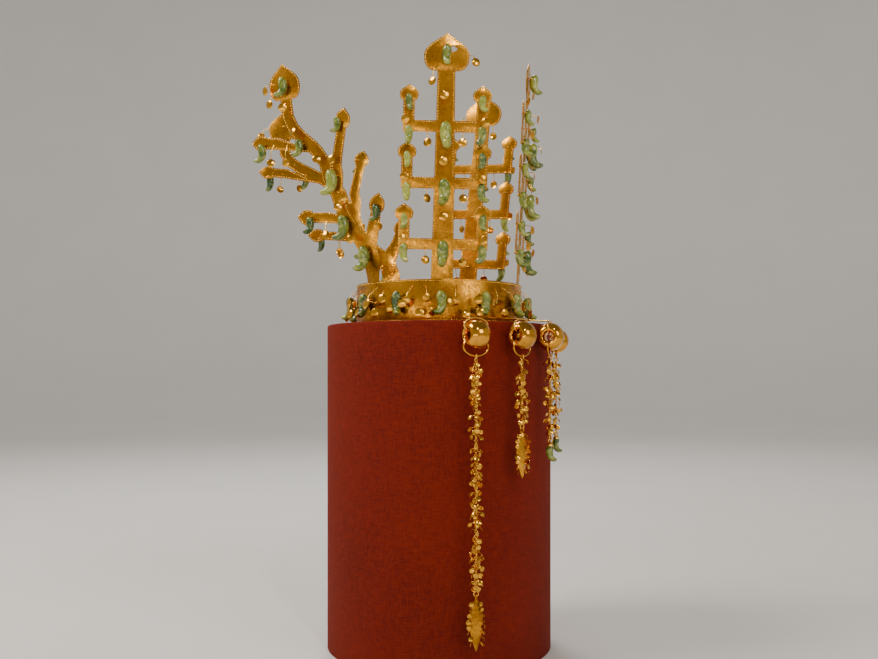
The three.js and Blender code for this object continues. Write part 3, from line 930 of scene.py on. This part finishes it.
# %% Three trees
for row in TREES:
    name = row["name"]
    lean = row["lean"]
    sheet = tree.copy()
    sheet.data = tree.data.copy()
    sheet.name = "sheet_" + name
    bpy.context.scene.collection.objects.link(sheet)
    bend_foot(sheet, lean, row["roll"])
    make_sheet(sheet)
    if name == WORN_HOLE["tree"]:
        wear_hole(sheet)
    place = upright_place(row["angle"], lean, row["roll"], row["angle"], TREE["foot"])
    settle(sheet, METRES @ place)
    hand_over(sheet, gold_sheet, nodes=[name])

    front = place @ move(0, 0, SHEET / 2)
    stones = tree_stones(front, lean)
    hung = []
    for x, up, droop, swing in TREE_SPANGLES:
        hung.append((front @ move(x, up, 0), dice.uniform(10, 14), lean, droop, swing))
    dots = [place @ Matrix.Translation(spot) for spot in tree_dots]
    mains = ["jade_" + name + "_" + part for part in ("top", "tier1", "tier2", "tier3")]
    dress(name, stones, hung, dots, nodes=mains)
put_away(tree)

# %% [markdown]
# ### Antlers
# An antler's stem rises from the back of the band, twists to face sideways and forks near the top. Each
# branch grows from the side of the one before it and ends in a bud. Rows give the middle of the sheet and
# its width; the left antler is opened out further, so its rows are stretched across, and from the fork
# upwards they are stretched more and more.

# %% Antler rows
ANTLER_FOOT = 20
ANTLER_ROWS = {
    "stem": [
        (1, 22, 20), (3, 30, 18.8), (11.5, 43.5, 17), (16, 48.5, 16.2), (21, 54.5, 15.2), (26, 63, 14.2),
        (30, 72, 13.6), (33.5, 83, 13.4), (35.5, 92, 14.5), (38.5, 106, 24),
    ],
    "front_low": [(-2.5, 52.5, 13.5), (-5, 61, 11.8), (-7, 70, 10.5)],
    "back_low": [(46, 66.5, 11), (64, 67.5, 10.5)],
    "front_high": [(34, 120, 12), (31.5, 130, 11), (28.5, 143, 10.7), (25.5, 156, 10.5)],
    "top": [
        (46, 121, 14), (54, 133, 14), (59, 138.5, 14), (67, 145.5, 13.9), (73, 151, 13.7),
        (79.5, 158.5, 13.5), (85, 171, 13.2), (86, 188, 13),
    ],
    "back_high": [(100, 145, 12), (112, 146, 11.5)],
}
# Each branch: the strip it grows from, the row where it starts, the side (0 front, 1 back) and its bud.
ANTLER_BRANCHES = [
    ("front_low", "stem", 1, 0, (17, 19)), ("back_low", "stem", 5, 1, (16, 18)),
    ("front_high", "stem", "fork", 0, (17, 19)), ("top", "stem", "fork", 1, (35, 36)),
    ("back_high", "top", 2, 1, (16, 18)),
]
HIGH_STRIPS = ("front_high", "top")
FORK_UP = 106
OPENED_UP = 156


def opening(up, opened, high_opened):
    """How far a row above the fork is stretched across, at its height."""
    share = min(max((up - FORK_UP) / (OPENED_UP - FORK_UP), 0), 1)
    return opened + (high_opened - opened) * share


def strip_rows(line, start=None):
    """Pairs of points, front side first, along a line of (across, up, width) rows."""
    centres = [Vector((x, up, 0)) for x, up, _ in line]
    rows = []
    for i, centre in enumerate(centres):
        before = centres[i - 1] if i else (start or centre)
        after = centres[min(i + 1, len(centres) - 1)]
        along = (after - before).normalized()
        side = Vector((-along.y, along.x, 0)) * line[i][2] / 2
        rows.append([centre + side, centre - side])
    return rows, along


# %% [markdown]
# The foot stands square to the band, while the stem above it faces sideways. The sheet twists between
# them, so the rows of the foot are worked out round the crown and brought back into the drawing.

# %% Twisted foot
TWIST_HEIGHT = 30
FOOT_HEIGHTS = (17, 13, 9, 5, 1, -12, -FOOT_DOWN)


def twisted_foot(twist, lean, place):
    """Rows of an antler's foot from the stem down into the band, in the drawing's own coordinates."""
    radius = foot_radius(ANTLER_FOOT)
    rows = []
    for up in FOOT_HEIGHTS:
        rise = max(up, 0)
        share = rise / TWIST_HEIGHT
        turned = twist * share * share * (3 - 2 * share)
        forward = rise * math.sin(math.radians(lean))
        out = -radius - forward * math.cos(math.radians(twist))
        sideways = forward * math.sin(math.radians(twist))
        centre = Vector((sideways, out, BEND + min(up, 0) + rise * math.cos(math.radians(lean))))
        half = turn(turned, "Z") @ Vector((ANTLER_FOOT / 2, 0, 0))
        rows.append([place.inverted() @ (centre - half), place.inverted() @ (centre + half)])
    return rows


# %% Antler drawing
def draw_antler(name, side, opened, high_opened, foot_rows):
    """A flat antler with all its branches and its twisted foot."""

    def stretched(strip):
        most = high_opened if strip in HIGH_STRIPS else opened
        return [(x * opening(up, opened, most), up, width) for x, up, width in ANTLER_ROWS[strip]]

    def mirrored(rows):
        return [[Vector((side * point.x, point.y, 0)) for point in row] for row in rows]

    rows_of = {"stem": strip_rows(stretched("stem"))[0]}
    first = mirrored(rows_of["stem"])
    left, right = sorted(point.x for point in first[0])
    piece = flat_strip(name, left, right, 0, 1)
    bpy.ops.object.mode_set(mode="OBJECT")
    for vertex in piece.data.vertices:
        row = first[0] if vertex.co.y < 0.5 else first[1]
        vertex.co = min(row, key=lambda point: abs(point.x - vertex.co.x))
    bpy.ops.object.mode_set(mode="EDIT")
    draw_out(piece, sum(first[1], Vector()) / 2, first[2:])
    edge_at(piece, sum(first[-1], Vector()) / 2)
    bpy.ops.mesh.subdivide(number_cuts=1)
    for branch, parent, row, edge, (bud_width, bud_height) in ANTLER_BRANCHES:
        grown = rows_of[parent]
        if row == "fork":
            root = grown[-1][edge] * 0.75 + grown[-1][1 - edge] * 0.25
        else:
            root = (grown[row][edge] + grown[row + 1][edge]) / 2
        line = stretched(branch)
        rows, along = strip_rows(line, root)
        rows_of[branch] = rows
        tip = Vector((line[-1][0], line[-1][1], 0))
        steps = 7 if bud_width > 20 else 5
        rows = rows + bud_rows(tip, along, line[-1][2] / 2, bud_width, bud_height, steps)
        draw_out(piece, mirrored([[root]])[0][0], mirrored(rows))
    draw_out(piece, sum(first[0], Vector()) / 2, foot_rows)
    leave_edit()
    return close_up(piece)


# %% [markdown]
# ### The two antlers
# Four large jades and five small ones hang on each antler, turned towards the side that it faces, with
# spangles between them. Their places are read on the right antler and stretched for the left one.

# %% Antlers and their places
ANTLERS = [
    {"name": "antler_right", "angle": -132, "lean": 8, "face": -100, "side": -1, "opened": 1, "high": 1},
    {"name": "antler_left", "angle": 140, "lean": 13, "face": 100, "side": 1, "opened": 1.25, "high": 1.5},
]
# Across, up and length of the jades, and for the small ones whether they hang below an edge by the head.
ANTLER_MAINS = [("low", 6, 30, 30), ("middle", 27, 62, 30), ("high", 37, 108, 31), ("top", 86, 205, 24)]
ANTLER_STONES = [
    (-9, 73, 20, False), (66, 64, 21, True), (28, 162, 19, False), (72, 143, 22, False),
    (116, 141, 23, True),
]
ANTLER_YAW = 58
ANTLER_DOTS_FROM = 24
# Things beyond this far across hang on the high back branch, unless they are above this height, where
# only the top bud is.
BACK_HIGH_FROM = 87
TOP_BUD_FROM = 180
# Across, up, droop and swing (towards the back) of each spangle's stem.
ANTLER_SPANGLES = [
    (17, 47, 0, 0), (29, 79, 0, 0), (35, 92, 20, -50), (33, 128, 0, 0), (52, 131, 10, 0),
    (77, 157, 0, 0), (86, 184, 0, 0), (-2, 62, 30, -60), (48, 63, 65, 20), (88, 142, 65, 10),
    (104, 143, 65, 20), (50, 62, 65, -20), (98, 204, 20, 75), (94, 196, 45, 70),
]


def antler_wall(row, front, x, up, high):
    """A spot on an antler's front, stretched across as its rows are."""
    widen = opening(up, row["opened"], row["high"] if high else row["opened"])
    return front @ move(row["side"] * widen * x, up, 0)


# %% Two antlers
for row in ANTLERS:
    name = row["name"]
    lean = row["lean"]
    place = upright_place(row["angle"], lean, 0, row["face"], ANTLER_FOOT)
    local = around(-row["angle"]) @ place
    foot_rows = twisted_foot(row["face"] - row["angle"], lean, local)
    sheet = draw_antler("sheet_" + name, row["side"], row["opened"], row["high"], foot_rows)
    dots = [place @ Matrix.Translation(spot) for spot in dots_along(sheet, ANTLER_DOTS_FROM)]
    make_sheet(sheet)
    settle(sheet, METRES @ place)
    hand_over(sheet, gold_sheet, nodes=[name])

    front = place @ move(0, 0, SHEET / 2)
    yaw = row["side"] * ANTLER_YAW
    stones = []
    for _, x, up, size in ANTLER_MAINS:
        stones.append((antler_wall(row, front, x, up, up > TOP_BUD_FROM), size, lean, False, yaw))
    for x, up, size, by_head in ANTLER_STONES:
        stones.append((antler_wall(row, front, x, up, x < BACK_HIGH_FROM), size, lean, by_head, yaw))
    hung = []
    for x, up, droop, swing in ANTLER_SPANGLES:
        wall = antler_wall(row, front, x, up, x < BACK_HIGH_FROM or up > TOP_BUD_FROM)
        hung.append((wall, dice.uniform(10, 15), lean, droop, row["side"] * swing))
    mains = ["jade_" + name + "_" + part for part, *_ in ANTLER_MAINS]
    dress(name, stones, hung, dots, nodes=mains)

# %% [markdown]
# ## Pendants
# Each pendant hangs from a wire over the rim: a fat hollow ring, a thin ring, a chain thick with small
# spangles, and an end drop. The rings' plane faces outwards, so each piece is modelled standing in XZ
# at the axis and then carried out to its angle.

# %% Sizes of a pendant
PENDANT_OUT = 134
RING_UP = 325.7
FAT_RING = {"radius": 14, "hole": 4, "middle": 9, "widest": 6.8, "half_width": 11}
HOOK = {"wire": 0.8, "across": 13.8, "high": 6.7, "hole_up": 344.5, "hole_out": 86.5}
HOOK_KNOB = {"radius": 1.7, "out": 85, "above": 0.1}
# Two points of the hook's wire between its ring and the band: how far inwards, and how high.
HOOK_BENDS = [(14, 342.3), (32, 343.6)]
THIN_RING = {"wire": 0.9, "across": 14.4, "high": 8.9, "up": 314.6}
LOOP = {"wire": 0.6, "radius": 2.3}
LINK = {"wire": 0.38, "across": 1.15, "high": 1.75, "pitch": 2.5}
TWIG = {"wire": 0.3, "length": 3}
CHAIN_TOP = 302.9
PENDANTS = [
    {"name": "outer", "angle": 65, "yaw": 19, "chain": 218, "leaf": 49},
    {"name": "middle", "angle": 43.5, "yaw": 16, "chain": 62, "leaf": 45},
    {"name": "inner", "angle": 24.5, "yaw": 18, "chain": 75, "leaf": 0},
]
JADE_DROP = 20
BAIL_UP = -3.1
DROP_UP = -5.2


def facing(ring):
    """Stand a flat ring up so that it faces outwards."""
    return settle(ring, turn(90, "X"))


def edgeways(ring):
    """Stand a flat ring up so that its edge faces outwards."""
    return settle(ring, turn(90, "Z") @ turn(90, "X"))


# %% [markdown]
# A fat ring is swollen like a bead: its section is widest near the hole and runs out round to the rim.
# It starts as a circle whose outer and inner halves are stretched apart, and is spun about its axis.

# %% Fat ring
WAIST = (0, 0, FAT_RING["widest"])

clear_selection()
bpy.ops.mesh.primitive_circle_add(vertices=32, radius=1, location=WAIST, rotation=(math.radians(90), 0, 0))
fat_ring = named("fat_ring_master")
pick(fat_ring)
bpy.ops.object.transform_apply(location=True, rotation=True)
choose(fat_ring, "VERT", lambda place: place.z > FAT_RING["widest"])
bpy.ops.transform.resize(value=(1, 1, FAT_RING["radius"] - FAT_RING["widest"]), center_override=WAIST)
leave_edit()
choose(fat_ring, "VERT", lambda place: place.z < FAT_RING["widest"])
bpy.ops.transform.resize(value=(1, 1, FAT_RING["widest"] - FAT_RING["hole"]), center_override=WAIST)
leave_edit()
choose(fat_ring, "VERT", lambda place: True)
bpy.ops.transform.resize(value=(FAT_RING["half_width"], 1, 1), center_override=WAIST)
bpy.ops.mesh.spin(steps=48, angle=2 * math.pi, center=(0, 0, 0), axis=(1, 0, 0))
leave_edit()
close_up(fat_ring)
soften(fat_ring, 60)
print("fat ring:", len(fat_ring.data.polygons), "faces")

# %% [markdown]
# The thin rings, loops and links are bent from round wire and closed. Each is a wire run round an oval,
# with fewer sides where it is small and repeated. A twig is the short wire that carries a small spangle.

# %% Wire rings and links
def wire_ring(name, across, high, wire, count, sides):
    """A closed ring of wire, lying flat."""
    return wire_piece(name, oval(across, high, count), wire, True, sides)


hook_loop = facing(wire_ring("hook_loop", HOOK["across"], HOOK["high"], HOOK["wire"], 40, 2))
thin_ring = facing(wire_ring("thin_ring", THIN_RING["across"], THIN_RING["high"], THIN_RING["wire"], 40, 2))
end_loop = facing(wire_ring("end_loop", LOOP["radius"], LOOP["radius"], LOOP["wire"], 20, 1))
top_loop = edgeways(wire_ring("top_loop", LOOP["radius"], LOOP["radius"], LOOP["wire"], 20, 1))
link = facing(wire_ring("link_master", LINK["across"], LINK["high"], LINK["wire"], 10, 0))
twig_line = [(0, 0.3, 0), (0, 0.6, 1.6), (0, 0, TWIG["length"])]
twig = wire_piece("twig_master", twig_line, TWIG["wire"], sides=0)
print("rings and links made")

# %% [markdown]
# A leaf drop is a long sheet leaf with a raised rib down its middle, drawn in rows like the uprights. The
# drawing is cut down its middle, and the points on the cut are lifted to make the rib.

# %% Leaf
LEAF = {"width": 13, "neck": 1.2, "widest": 0.45, "below": 0.55, "rib": 1.9, "thick": 0.8, "edge": 0.18}


def leaf_half(share):
    """Half width of a leaf at a share of its length from the top."""
    if share < LEAF["widest"]:
        rise = share / LEAF["widest"]
        return LEAF["neck"] + (LEAF["width"] / 2 - LEAF["neck"]) * math.sin(rise * math.pi / 2) ** 0.8
    fall = (share - LEAF["widest"]) / LEAF["below"]
    return LEAF["width"] / 2 * (1 - fall**1.7)


def make_leaf(name, length):
    """A leaf that hangs down from the origin, facing +Z."""
    piece = flat_strip(name, -LEAF["neck"], LEAF["neck"], -0.6, 0)
    shares = [0.06, 0.12, 0.2, 0.28, 0.36, 0.45, 0.54, 0.63, 0.72, 0.8, 0.88, 0.95, 1]
    draw_out(piece, (0, -0.6, 0), [level(leaf_half(share), -share * length) for share in shares])
    bpy.ops.mesh.select_all(action="SELECT")
    bpy.ops.mesh.bisect(plane_co=(0, 0, 0), plane_no=(1, 0, 0))
    leave_edit()
    close_up(piece)
    choose(piece, "VERT", lambda place: abs(place.x) < 0.01 and -0.97 * length < place.y < -1)
    bpy.ops.transform.translate(value=(0, 0, LEAF["rib"]))
    leave_edit()
    finish_with(piece, "SOLIDIFY", thickness=LEAF["thick"], offset=0)
    finish_with(piece, "BEVEL", width=LEAF["edge"], segments=2, limit_method="ANGLE")
    return soften(piece, 30)


# %% Twigs of a leaf
TWIG_SHARES = (0.06, 0.17, 0.28, 0.39, 0.5, 0.61, 0.72, 0.83)


def leaf_edge_places(length):
    """Places for the twigs and small spangles along both edges of a leaf that hangs facing outwards."""
    twigs = []
    leaves = []
    for share in TWIG_SHARES:
        for side in (-1, 1):
            at = move(side * leaf_half(share) * 0.8, 0, -share * length)
            root = at @ turn(side * dice.uniform(50, 85), "Z") @ turn(90, "X")
            reach = dice.uniform(1.8, 3.4)
            twigs.append(root @ Matrix.Scale(reach / TWIG["length"], 4, (0, 0, 1)))
            hang = turn(give_or_take(50), "Y") @ turn(dice.uniform(-25, 15), "X")
            leaves.append(root @ move(0, 0, reach) @ hang @ Matrix.Scale(dice.uniform(0.46, 0.58), 4))
    return twigs, leaves


# %% [markdown]
# The inner pendants end in a jade held in a small gold cap. The cap is turned like a thimble: a disc is
# extruded down and widened, ring by ring, and drawn in a little at its mouth.

# %% Jade drop's cap
CAP_DEEP = 3.4
CAP_ROWS = ((1.7, -0.1), (2.9, -1), (3.4, -2.4), (3.4, -3.1), (3.0, -CAP_DEEP))

clear_selection()
bpy.ops.mesh.primitive_circle_add(vertices=20, radius=0.8, fill_type="NGON", location=(0, 0, 0.4))
cap = named("cap_master")
pick(cap)
bpy.ops.object.transform_apply(location=True)
choose(cap, "FACE", lambda place: True)
for radius, low in CAP_ROWS:
    rim = [vertex.co for vertex in bmesh.from_edit_mesh(cap.data).verts if vertex.select]
    before = math.hypot(rim[0].x, rim[0].y)
    bpy.ops.mesh.extrude_region_move(TRANSFORM_OT_translate={"value": (0, 0, low - rim[0].z)})
    bpy.ops.transform.resize(value=(radius / before, radius / before, 1), center_override=(0, 0, low))
leave_edit()
close_up(cap)
soften(cap, 50)
print("cap:", len(cap.data.polygons), "faces")


# %% [markdown]
# A chain is a row of small links, each turned a quarter from the last, and it is thick with small spangles
# on twigs. Chance decides how many stand at each tier and which way they lean.

# %% Chain
TIER_PITCH = 6.4


def chain_places(length):
    """Places for a chain's links, twigs and small spangles, from its top downwards."""
    links = []
    count = round(length / LINK["pitch"])
    for i in range(count):
        links.append(move(0, 0, -length * (i + 0.5) / count) @ turn(90 * (i % 2), "Z"))
    twigs = []
    leaves = []
    tiers = round(length / TIER_PITCH)
    for i in range(tiers):
        down = -length * (i + 0.35) / tiers
        discs = dice.choice((6, 5, 4, 4, 2))
        for k in range(discs):
            spin = 360 * k / discs + 30 * (i % 2) + give_or_take(22)
            reach = dice.uniform(2, 6.3)
            root = move(0, 0, down + give_or_take(2)) @ turn(spin, "Z") @ turn(90, "X")
            twigs.append(root @ Matrix.Scale(reach / TWIG["length"], 4, (0, 0, 1)))
            tilt = turn(dice.uniform(-40, 20), "X") @ turn(give_or_take(60), "Y")
            leaves.append(root @ move(0, 0, reach) @ tilt @ Matrix.Scale(dice.uniform(0.5, 0.62), 4))
    return links, twigs, leaves


# %% [markdown]
# ### Six pendants
# The chains hang still and the end drops swing on their last loops, so each drop rides on its own body
# and all the rest on the crown.

# %% Hook and rings
def hang_hook(label, out, yaw):
    """The hook: a wire from the band over the rim, with a knob inside the band and a ring outside."""
    ring_up = RING_UP + FAT_RING["middle"]
    line = [(0, 0, ring_up + HOOK["high"])]
    line += [(0, inwards, up) for inwards, up in HOOK_BENDS]
    line.append((0, PENDANT_OUT - HOOK["hole_out"], HOOK["hole_up"]))
    hook_wire = wire_piece("hook_wire", line, HOOK["wire"], sides=2)
    clear_selection()
    knob_at = (0, PENDANT_OUT - HOOK_KNOB["out"], HOOK["hole_up"] + HOOK_KNOB["above"])
    bpy.ops.mesh.primitive_uv_sphere_add(
        segments=14, ring_count=8, radius=HOOK_KNOB["radius"], location=knob_at,
    )
    knob = named("hook_knob")
    loop = strew(hook_loop, "hook_ring", [move(0, 0, ring_up) @ yaw])
    hook = joined("pendant_hook_" + label, hook_wire, knob, loop)
    hand_over(settle(soften(hook, 60), METRES @ out), gold_wire, nodes=["hook_" + label])


def hang_rings(label, out, yaw):
    """The fat ring and the thin ring through it."""
    for kind, master, up in (("fat_ring_", fat_ring, RING_UP), ("thin_ring_", thin_ring, THIN_RING["up"])):
        ring = strew(master, "pendant_" + kind + label, [move(0, 0, up) @ yaw])
        hand_over(settle(ring, METRES @ out), gold_burnished, nodes=[kind + label])


# %% Spangled chain
def hang_chain(label, out, length, hinge):
    """The chain between its two loops, and its small spangles."""
    links, twigs, leaves = chain_places(length)
    start = move(0, 0, CHAIN_TOP)
    parts = [strew(link, "links", [start @ spot for spot in links])]
    parts.append(strew(twig, "twigs", [start @ spot for spot in twigs]))
    parts.append(strew(top_loop, "loop", [move(0, 0, CHAIN_TOP + LOOP["radius"])]))
    parts.append(strew(end_loop, "loop", [move(0, 0, hinge)]))
    chain = joined("pendant_chain_" + label, *parts)
    hand_over(settle(chain, METRES @ out), gold_wire, nodes=["chain_" + label])
    small = strew(spangle, "pendant_spangles_" + label, [start @ spot for spot in leaves])
    hand_over(settle(soften(small, 35), METRES @ out), gold_spangle)


# %% Leaf drop and jade drop
CAP_GRIP = 1
STONE_ABOVE = 0.15


def hang_leaf(label, out, foot, bail, length):
    """A leaf with its bail, and small spangles along its edges."""
    body = "drop_" + label
    leaf = settle(make_leaf("leaf", length), foot @ turn(90, "X"))
    twigs, leaves = leaf_edge_places(length)
    stems = strew(twig, "stems", [foot @ spot for spot in twigs])
    drop = joined("pendant_drop_" + label, leaf, bail, stems)
    hand_over(settle(drop, METRES @ out), gold_sheet, body=body, nodes=[body])
    small = strew(spangle, "pendant_drop_spangles_" + label, [foot @ spot for spot in leaves])
    hand_over(settle(soften(small, 35), METRES @ out), gold_spangle, body=body)


def hang_jade(label, out, foot, bail):
    """A jade whose head sits in a gold cap."""
    body = "drop_" + label
    cup = strew(cap, "cup", [foot])
    drop = joined("pendant_cap_" + label, cup, bail)
    hand_over(settle(drop, METRES @ out), gold_wire, body=body)
    stone_up = -CAP_DEEP + CAP_GRIP - STONE_ABOVE * JADE_DROP
    size = Matrix.Scale(JADE_DROP / STONE["length"], 4)
    stone = strew(comma, "pendant_jade_" + label, [foot @ move(0, 0, stone_up) @ turn(90, "X") @ size])
    hand_over(settle(stone, METRES @ out), jade, body=body, nodes=[body])


# %% Hanging the pendants
for side, hand in ((-1, "right"), (1, "left")):
    for row in PENDANTS:
        label = hand + "_" + row["name"]
        out = around(side * row["angle"]) @ move(0, -PENDANT_OUT, 0)
        yaw = turn(-side * row["yaw"], "Z")
        hang_hook(label, out, yaw)
        hang_rings(label, out, yaw)
        hinge = CHAIN_TOP - row["chain"] - LOOP["radius"]
        hang_chain(label, out, row["chain"], hinge)
        bail = strew(top_loop, "bail", [move(0, 0, hinge + BAIL_UP)])
        foot = move(0, 0, hinge + DROP_UP)
        if row["leaf"]:
            hang_leaf(label, out, foot, bail, row["leaf"])
        else:
            hang_jade(label, out, foot, bail)
print("six pendants hung")
put_away(dot, tie, stem, spangle, comma, cap)
put_away(fat_ring, hook_loop, thin_ring, end_loop, top_loop, link, twig)

# %% [markdown]
# ## Floor and light
# A pale floor runs up into a round backdrop, so that every side of the crown is seen against the same
# plain ground. A large soft light from the upper left models the gold, with a weaker fill, a low strip,
# a small bright lamp for the sparkle and a rim light, and four more light the backdrop evenly.

# %% Floor
FLOOR_RADIUS = 3.6
# The reach and height of the rows that curve the floor up into the backdrop, in metres.
BACKDROP_ROWS = ((4.3, 0.06), (4.9, 0.26), (5.3, 0.65), (5.5, 1.3), (5.6, 4))

clear_selection()
bpy.ops.mesh.primitive_circle_add(vertices=96, radius=FLOOR_RADIUS, fill_type="NGON")
floor = named("floor")
choose(floor, "FACE", lambda middle: True)
reach, height = FLOOR_RADIUS, 0
for next_reach, next_height in BACKDROP_ROWS:
    bpy.ops.mesh.extrude_region_move(TRANSFORM_OT_translate={"value": (0, 0, next_height - height)})
    bpy.ops.transform.resize(value=(next_reach / reach, next_reach / reach, 1))
    reach, height = next_reach, next_height
bpy.ops.mesh.delete(type="ONLY_FACE")
leave_edit()
soften(floor, 60)

pale, here = start_finish("pale_floor")
dust = noise(here, 3, 4)
close_finish(
    pale, here, Base_Color=mixed(dust, (0.74, 0.72, 0.69), (0.8, 0.78, 0.75)), Roughness=0.7 + dust * 0.1,
)
floor.data.materials.append(pale)


# %% Lights
def softbox(name, place, aim, wide, high, power, colour):
    """A soft rectangular light that points at a spot and isn't seen itself."""
    light = bpy.data.lights.new(name, "AREA")
    light.shape = "RECTANGLE"
    light.size = wide
    light.size_y = high
    light.energy = power
    light.color = colour
    lamp = bpy.data.objects.new(name, light)
    lamp.location = place
    lamp.rotation_euler = (Vector(aim) - Vector(place)).to_track_quat("-Z", "Y").to_euler()
    lamp.visible_camera = False
    bpy.context.scene.collection.objects.link(lamp)


middle_spot = (0, 0, 0.42)
low_spot = (0, 0, 0.45)
softbox("key", (-0.6, 1.3, 1.9), middle_spot, 0.8, 0.8, 36, (1, 0.94, 0.86))
softbox("fill", (-1.2, -1.6, 1.1), middle_spot, 0.8, 0.8, 11, (1, 0.96, 0.92))
softbox("low", (-1.35, 0.1, 0.22), low_spot, 1.3, 0.16, 2.2, (1, 0.9, 0.76))
softbox("sparkle", (-1.1, -0.5, 1.3), middle_spot, 0.08, 0.08, 4.5, (1, 0.97, 0.92))
WHITE = (1, 0.98, 0.95)
for angle, power in ((10, 40), (100, 34), (190, 14), (280, 34)):
    across = Vector((math.cos(math.radians(angle)), math.sin(math.radians(angle)), 0))
    place = across * 1.6 + Vector((0, 0, 2.6))
    aim = across * 5.3 + Vector((0, 0, 0.9))
    softbox("backdrop_%d" % angle, place, aim, 1.5, 1.5, power, WHITE)
softbox("rim", (1.3, 0.5, 1.9), middle_spot, 0.7, 0.7, 20, (1, 0.95, 0.9))
world = bpy.data.worlds.new("studio")
bpy.context.scene.world = world
world.use_nodes = True
world.node_tree.nodes["Background"].inputs["Color"].default_value = (*WHITE, 1)
world.node_tree.nodes["Background"].inputs["Strength"].default_value = 0.2
print("lights set")
